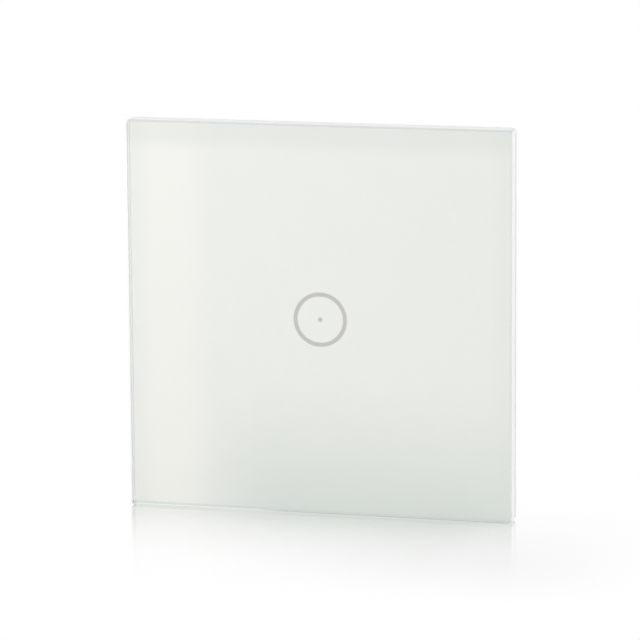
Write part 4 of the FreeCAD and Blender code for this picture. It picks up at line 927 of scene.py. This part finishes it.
SOFTENED = {
    "filter_capacitor": 0.3, "radio_shield": 0.15, "power_chip": 0.08, "bridge_rectifier": 0.15,
    "pin_header": 0.12, "header_socket": 0.12, "relay_base": 0.1, "front_cover": 0.15, "clip_frame": 0.15,
    "mounting_plate": 0.1, "rear_housing": 0.2}


def soften_edges():
    """Small rounds along the edges of CAD nodes, as moulding and stamping leave them."""
    for node, round_mm in SOFTENED.items():
        bevel = NODES[node].modifiers.new("edge_round", "BEVEL")
        bevel.width = round_mm * MM
        bevel.segments = 2
        bevel.limit_method = "ANGLE"
        bevel.angle_limit = math.radians(50)
        bevel.use_clamp_overlap = True


# Floor and light

FLOOR_HALF = 3.0
MIRROR_REACH = 90 * MM
MIRROR_FALL = 3.65
MIRROR_GAIN = 1.11
MIRROR_STRENGTH = 0.97
MIRROR_LOSS_RIGHT = 0.33
SHADOW_DEPTH = 0.075
CONTACT_DEPTH = 0.045
BENEATH_SHADE_DEPTH = 0.45
WORLD_LEVEL = 0.608
FRONT_LIGHT_LEVEL = 2.87
LOWER_RIM_LEVEL = 0.55
RIGHT_RIM_LEVEL = 0.8
TOP_LOSS = 0.95


def floor_material():
    """White gloss. The camera sees a mirror image of the part, which fades with distance and is weaker near
    the panel's right end, so that more white glow shows there as painted light, a contact shade along the
    panel's foot, and a faint soft shadow to the right. Mirrored rays see a clear image instead, and rays
    through the glass see the white glow, dimmed under the panel's foot as painted shade. Places are metres
    ahead of the glass, and aside from its middle."""
    material, tree, shader, output = plain_material("floor_gloss")
    set_inputs(shader, Base_Color=(0.85, 0.85, 0.85, 1), Roughness=0.9, Specular_IOR_Level=0.0)
    path = add_node(tree, "ShaderNodeLightPath")
    axes = split_axes(tree, object_place(tree))
    ahead, aside = maths(tree, "SUBTRACT", GLASS_FRONT, axes["Y"]), axes["X"]
    away = maths(tree, "DIVIDE", ahead, MIRROR_REACH)
    near = maths(tree, "MINIMUM", highest(tree, maths(tree, "SUBTRACT", 1.0, away), 0.0), 1.0)
    falling = product(tree, maths(tree, "POWER", near, MIRROR_FALL), MIRROR_GAIN)
    fade = maths(tree, "MINIMUM", falling, 1.0)
    # Painted light: the mirror share drops near the panel's right end, so the floor's white glow shows
    # brighter there.
    loss = product(tree, ramp(tree, aside, 0.028, 0.042), MIRROR_LOSS_RIGHT)
    shine = product(tree, fade, maths(tree, "SUBTRACT", MIRROR_STRENGTH, loss))
    right_part = ramp(tree, aside, -0.02, -0.006)

    shadow = product(tree, ramp(tree, aside, -0.02, 0.045), ramp(tree, aside, 0.085, 0.05),
                     ramp(tree, ahead, -0.025, 0.003), ramp(tree, ahead, 0.07, 0.03))
    white = white_light(tree, "ShaderNodeEmission", dimmed(tree, shadow, SHADOW_DEPTH))
    contact = product(tree, ramp(tree, ahead, 0.004, 0.0), ramp(tree, ahead, -0.002, 0.0),
                      ramp(tree, aside, -0.0445, -0.042), ramp(tree, aside, 0.0445, 0.042), right_part)
    mirror = set_inputs(add_node(tree, "ShaderNodeBsdfGlossy"), Roughness=0.1)
    wire(tree, dimmed(tree, contact, CONTACT_DEPTH), mirror.inputs["Color"])
    for_camera = mixed(tree, shine, white, mirror.outputs[0])

    # Painted shade: under the panel's foot the floor's white glow is dimmed for the rays that come through
    # the glass, which darkens the glass's lower arris.
    beneath_shade = product(tree, ramp(tree, ahead, 0.008, 0.002), right_part)
    shaded_white_beneath = white_light(tree, "ShaderNodeEmission", dimmed(tree, beneath_shade, BENEATH_SHADE_DEPTH))
    clear_mirror = set_inputs(add_node(tree, "ShaderNodeBsdfGlossy"), Color=WHITE, Roughness=0.0)
    clearness = product(tree, ramp(tree, away, 0.01, 0.07), path.outputs["Is Glossy Ray"])
    for_glass = mixed(tree, clearness, shaded_white_beneath, clear_mirror.outputs[0])

    shown = mixed(tree, path.outputs["Is Camera Ray"], for_glass, for_camera)
    wire(tree, mixed(tree, seen_rays(tree, path), shader.outputs[0], shown), output.inputs["Surface"])
    return material


def stage_floor():
    mesh = bpy.data.meshes.new("floor")
    corners = [(FLOOR_HALF * across, FLOOR_HALF * along, FLOOR)
               for across, along in ((-1, -1), (1, -1), (1, 1), (-1, 1))]
    mesh.from_pydata(corners, [], [(0, 1, 2, 3)])
    mesh.materials.append(floor_material())
    floor = bpy.data.objects.new("floor", mesh)
    bpy.context.scene.collection.objects.link(floor)


def front_lights(tree):
    """What stands in front of the panel, for reflections: a wide light with a brighter left end, and with a
    dimmer top, lower rim and right rim. Places are slopes, sideways and upwards, for each unit ahead."""
    axes = split_axes(tree, add_node(tree, "ShaderNodeTexCoord").outputs["Generated"])
    ahead = product(tree, axes["Y"], -1.0)
    reach = highest(tree, ahead, 0.001)
    aside = maths(tree, "DIVIDE", axes["X"], reach)
    above = maths(tree, "ABSOLUTE", maths(tree, "DIVIDE", axes["Z"], reach))
    around = product(tree, ramp(tree, ahead, 0.5, 0.7), ramp(tree, above, 0.5, 0.3),
                     ramp(tree, aside, -0.6, -0.45), ramp(tree, aside, -0.02, -0.15))
    left_end = product(tree, ramp(tree, aside, -0.292, -0.302), ramp(tree, aside, -0.3135, -0.31))
    top = product(tree, ramp(tree, above, 0.208, 0.25), ramp(tree, aside, -0.304, -0.276))
    past_lower_rim = ramp(tree, above, 0.148, 0.1525)
    past_right_rim = ramp(tree, aside, -0.214, -0.2195)
    level = product(tree, maths(tree, "ADD", FRONT_LIGHT_LEVEL, left_end),
                    raised(tree, past_lower_rim, LOWER_RIM_LEVEL),
                    raised(tree, past_right_rim, RIGHT_RIM_LEVEL), dimmed(tree, top, TOP_LOSS))
    return around, level


def light_world():
    """White to the camera, lights in front for reflections, and a plain soft level as light."""
    world = bpy.data.worlds.new("studio")
    world.use_nodes = True
    bpy.context.scene.world = world
    tree = world.node_tree
    sky = next(node for node in tree.nodes if node.type == "BACKGROUND")
    output = next(node for node in tree.nodes if node.type == "OUTPUT_WORLD")
    path = add_node(tree, "ShaderNodeLightPath")
    set_inputs(sky, Color=WHITE)
    wire(tree, raised(tree, seen_rays(tree, path), WORLD_LEVEL), sky.inputs["Strength"])
    around, level = front_lights(tree)
    lights = white_light(tree, "ShaderNodeBackground", level)
    mirrored = product(tree, around, path.outputs["Is Glossy Ray"])
    wire(tree, mixed(tree, mirrored, sky.outputs[0], lights), output.inputs["Surface"])


def soft_lamp(name, place, side, power, mirrored):
    """A square soft lamp that faces the middle of the panel. The back one is the white wall's light on the
    edges. The front one has no mirror image, because the glass would show it as a hard white square."""
    data = bpy.data.lights.new(name, "AREA")
    data.shape = "SQUARE"
    data.size = side
    data.energy = power
    lamp = bpy.data.objects.new(name, data)
    lamp.location = place
    lamp.visible_glossy = mirrored
    lamp.rotation_euler = (Vector((0, GLASS_FRONT, 0)) - Vector(place)).to_track_quat("-Z", "Y").to_euler()
    bpy.context.scene.collection.objects.link(lamp)


place_camera()
dress_nodes()
printed_film()
touch_symbol()
solder_joints()
tinned_leads()
footprint_lines()
all_surface_parts()
board_tracks()
touch_chip_feet()
radio_board_details()
first_leg_marks()
touch_board_front()
winding("choke_turns", "choke_coil", 0.45, 1.9)
winding("relay_turns", "relay_coil", 0.28, 2.2)
storage_capacitor_details()
resistor_bands()
housing_details()
wiring_diagram()
carrier_details()
soften_edges()
stage_floor()
light_world()
soft_lamp("key_lamp", (-0.34, -0.5, 0.36), 0.3, 1.95, False)
soft_lamp("back_lamp", (0.5, 0.3, 0.2), 0.5, 1.7, True)

bpy.context.scene.view_settings.view_transform = "Standard"
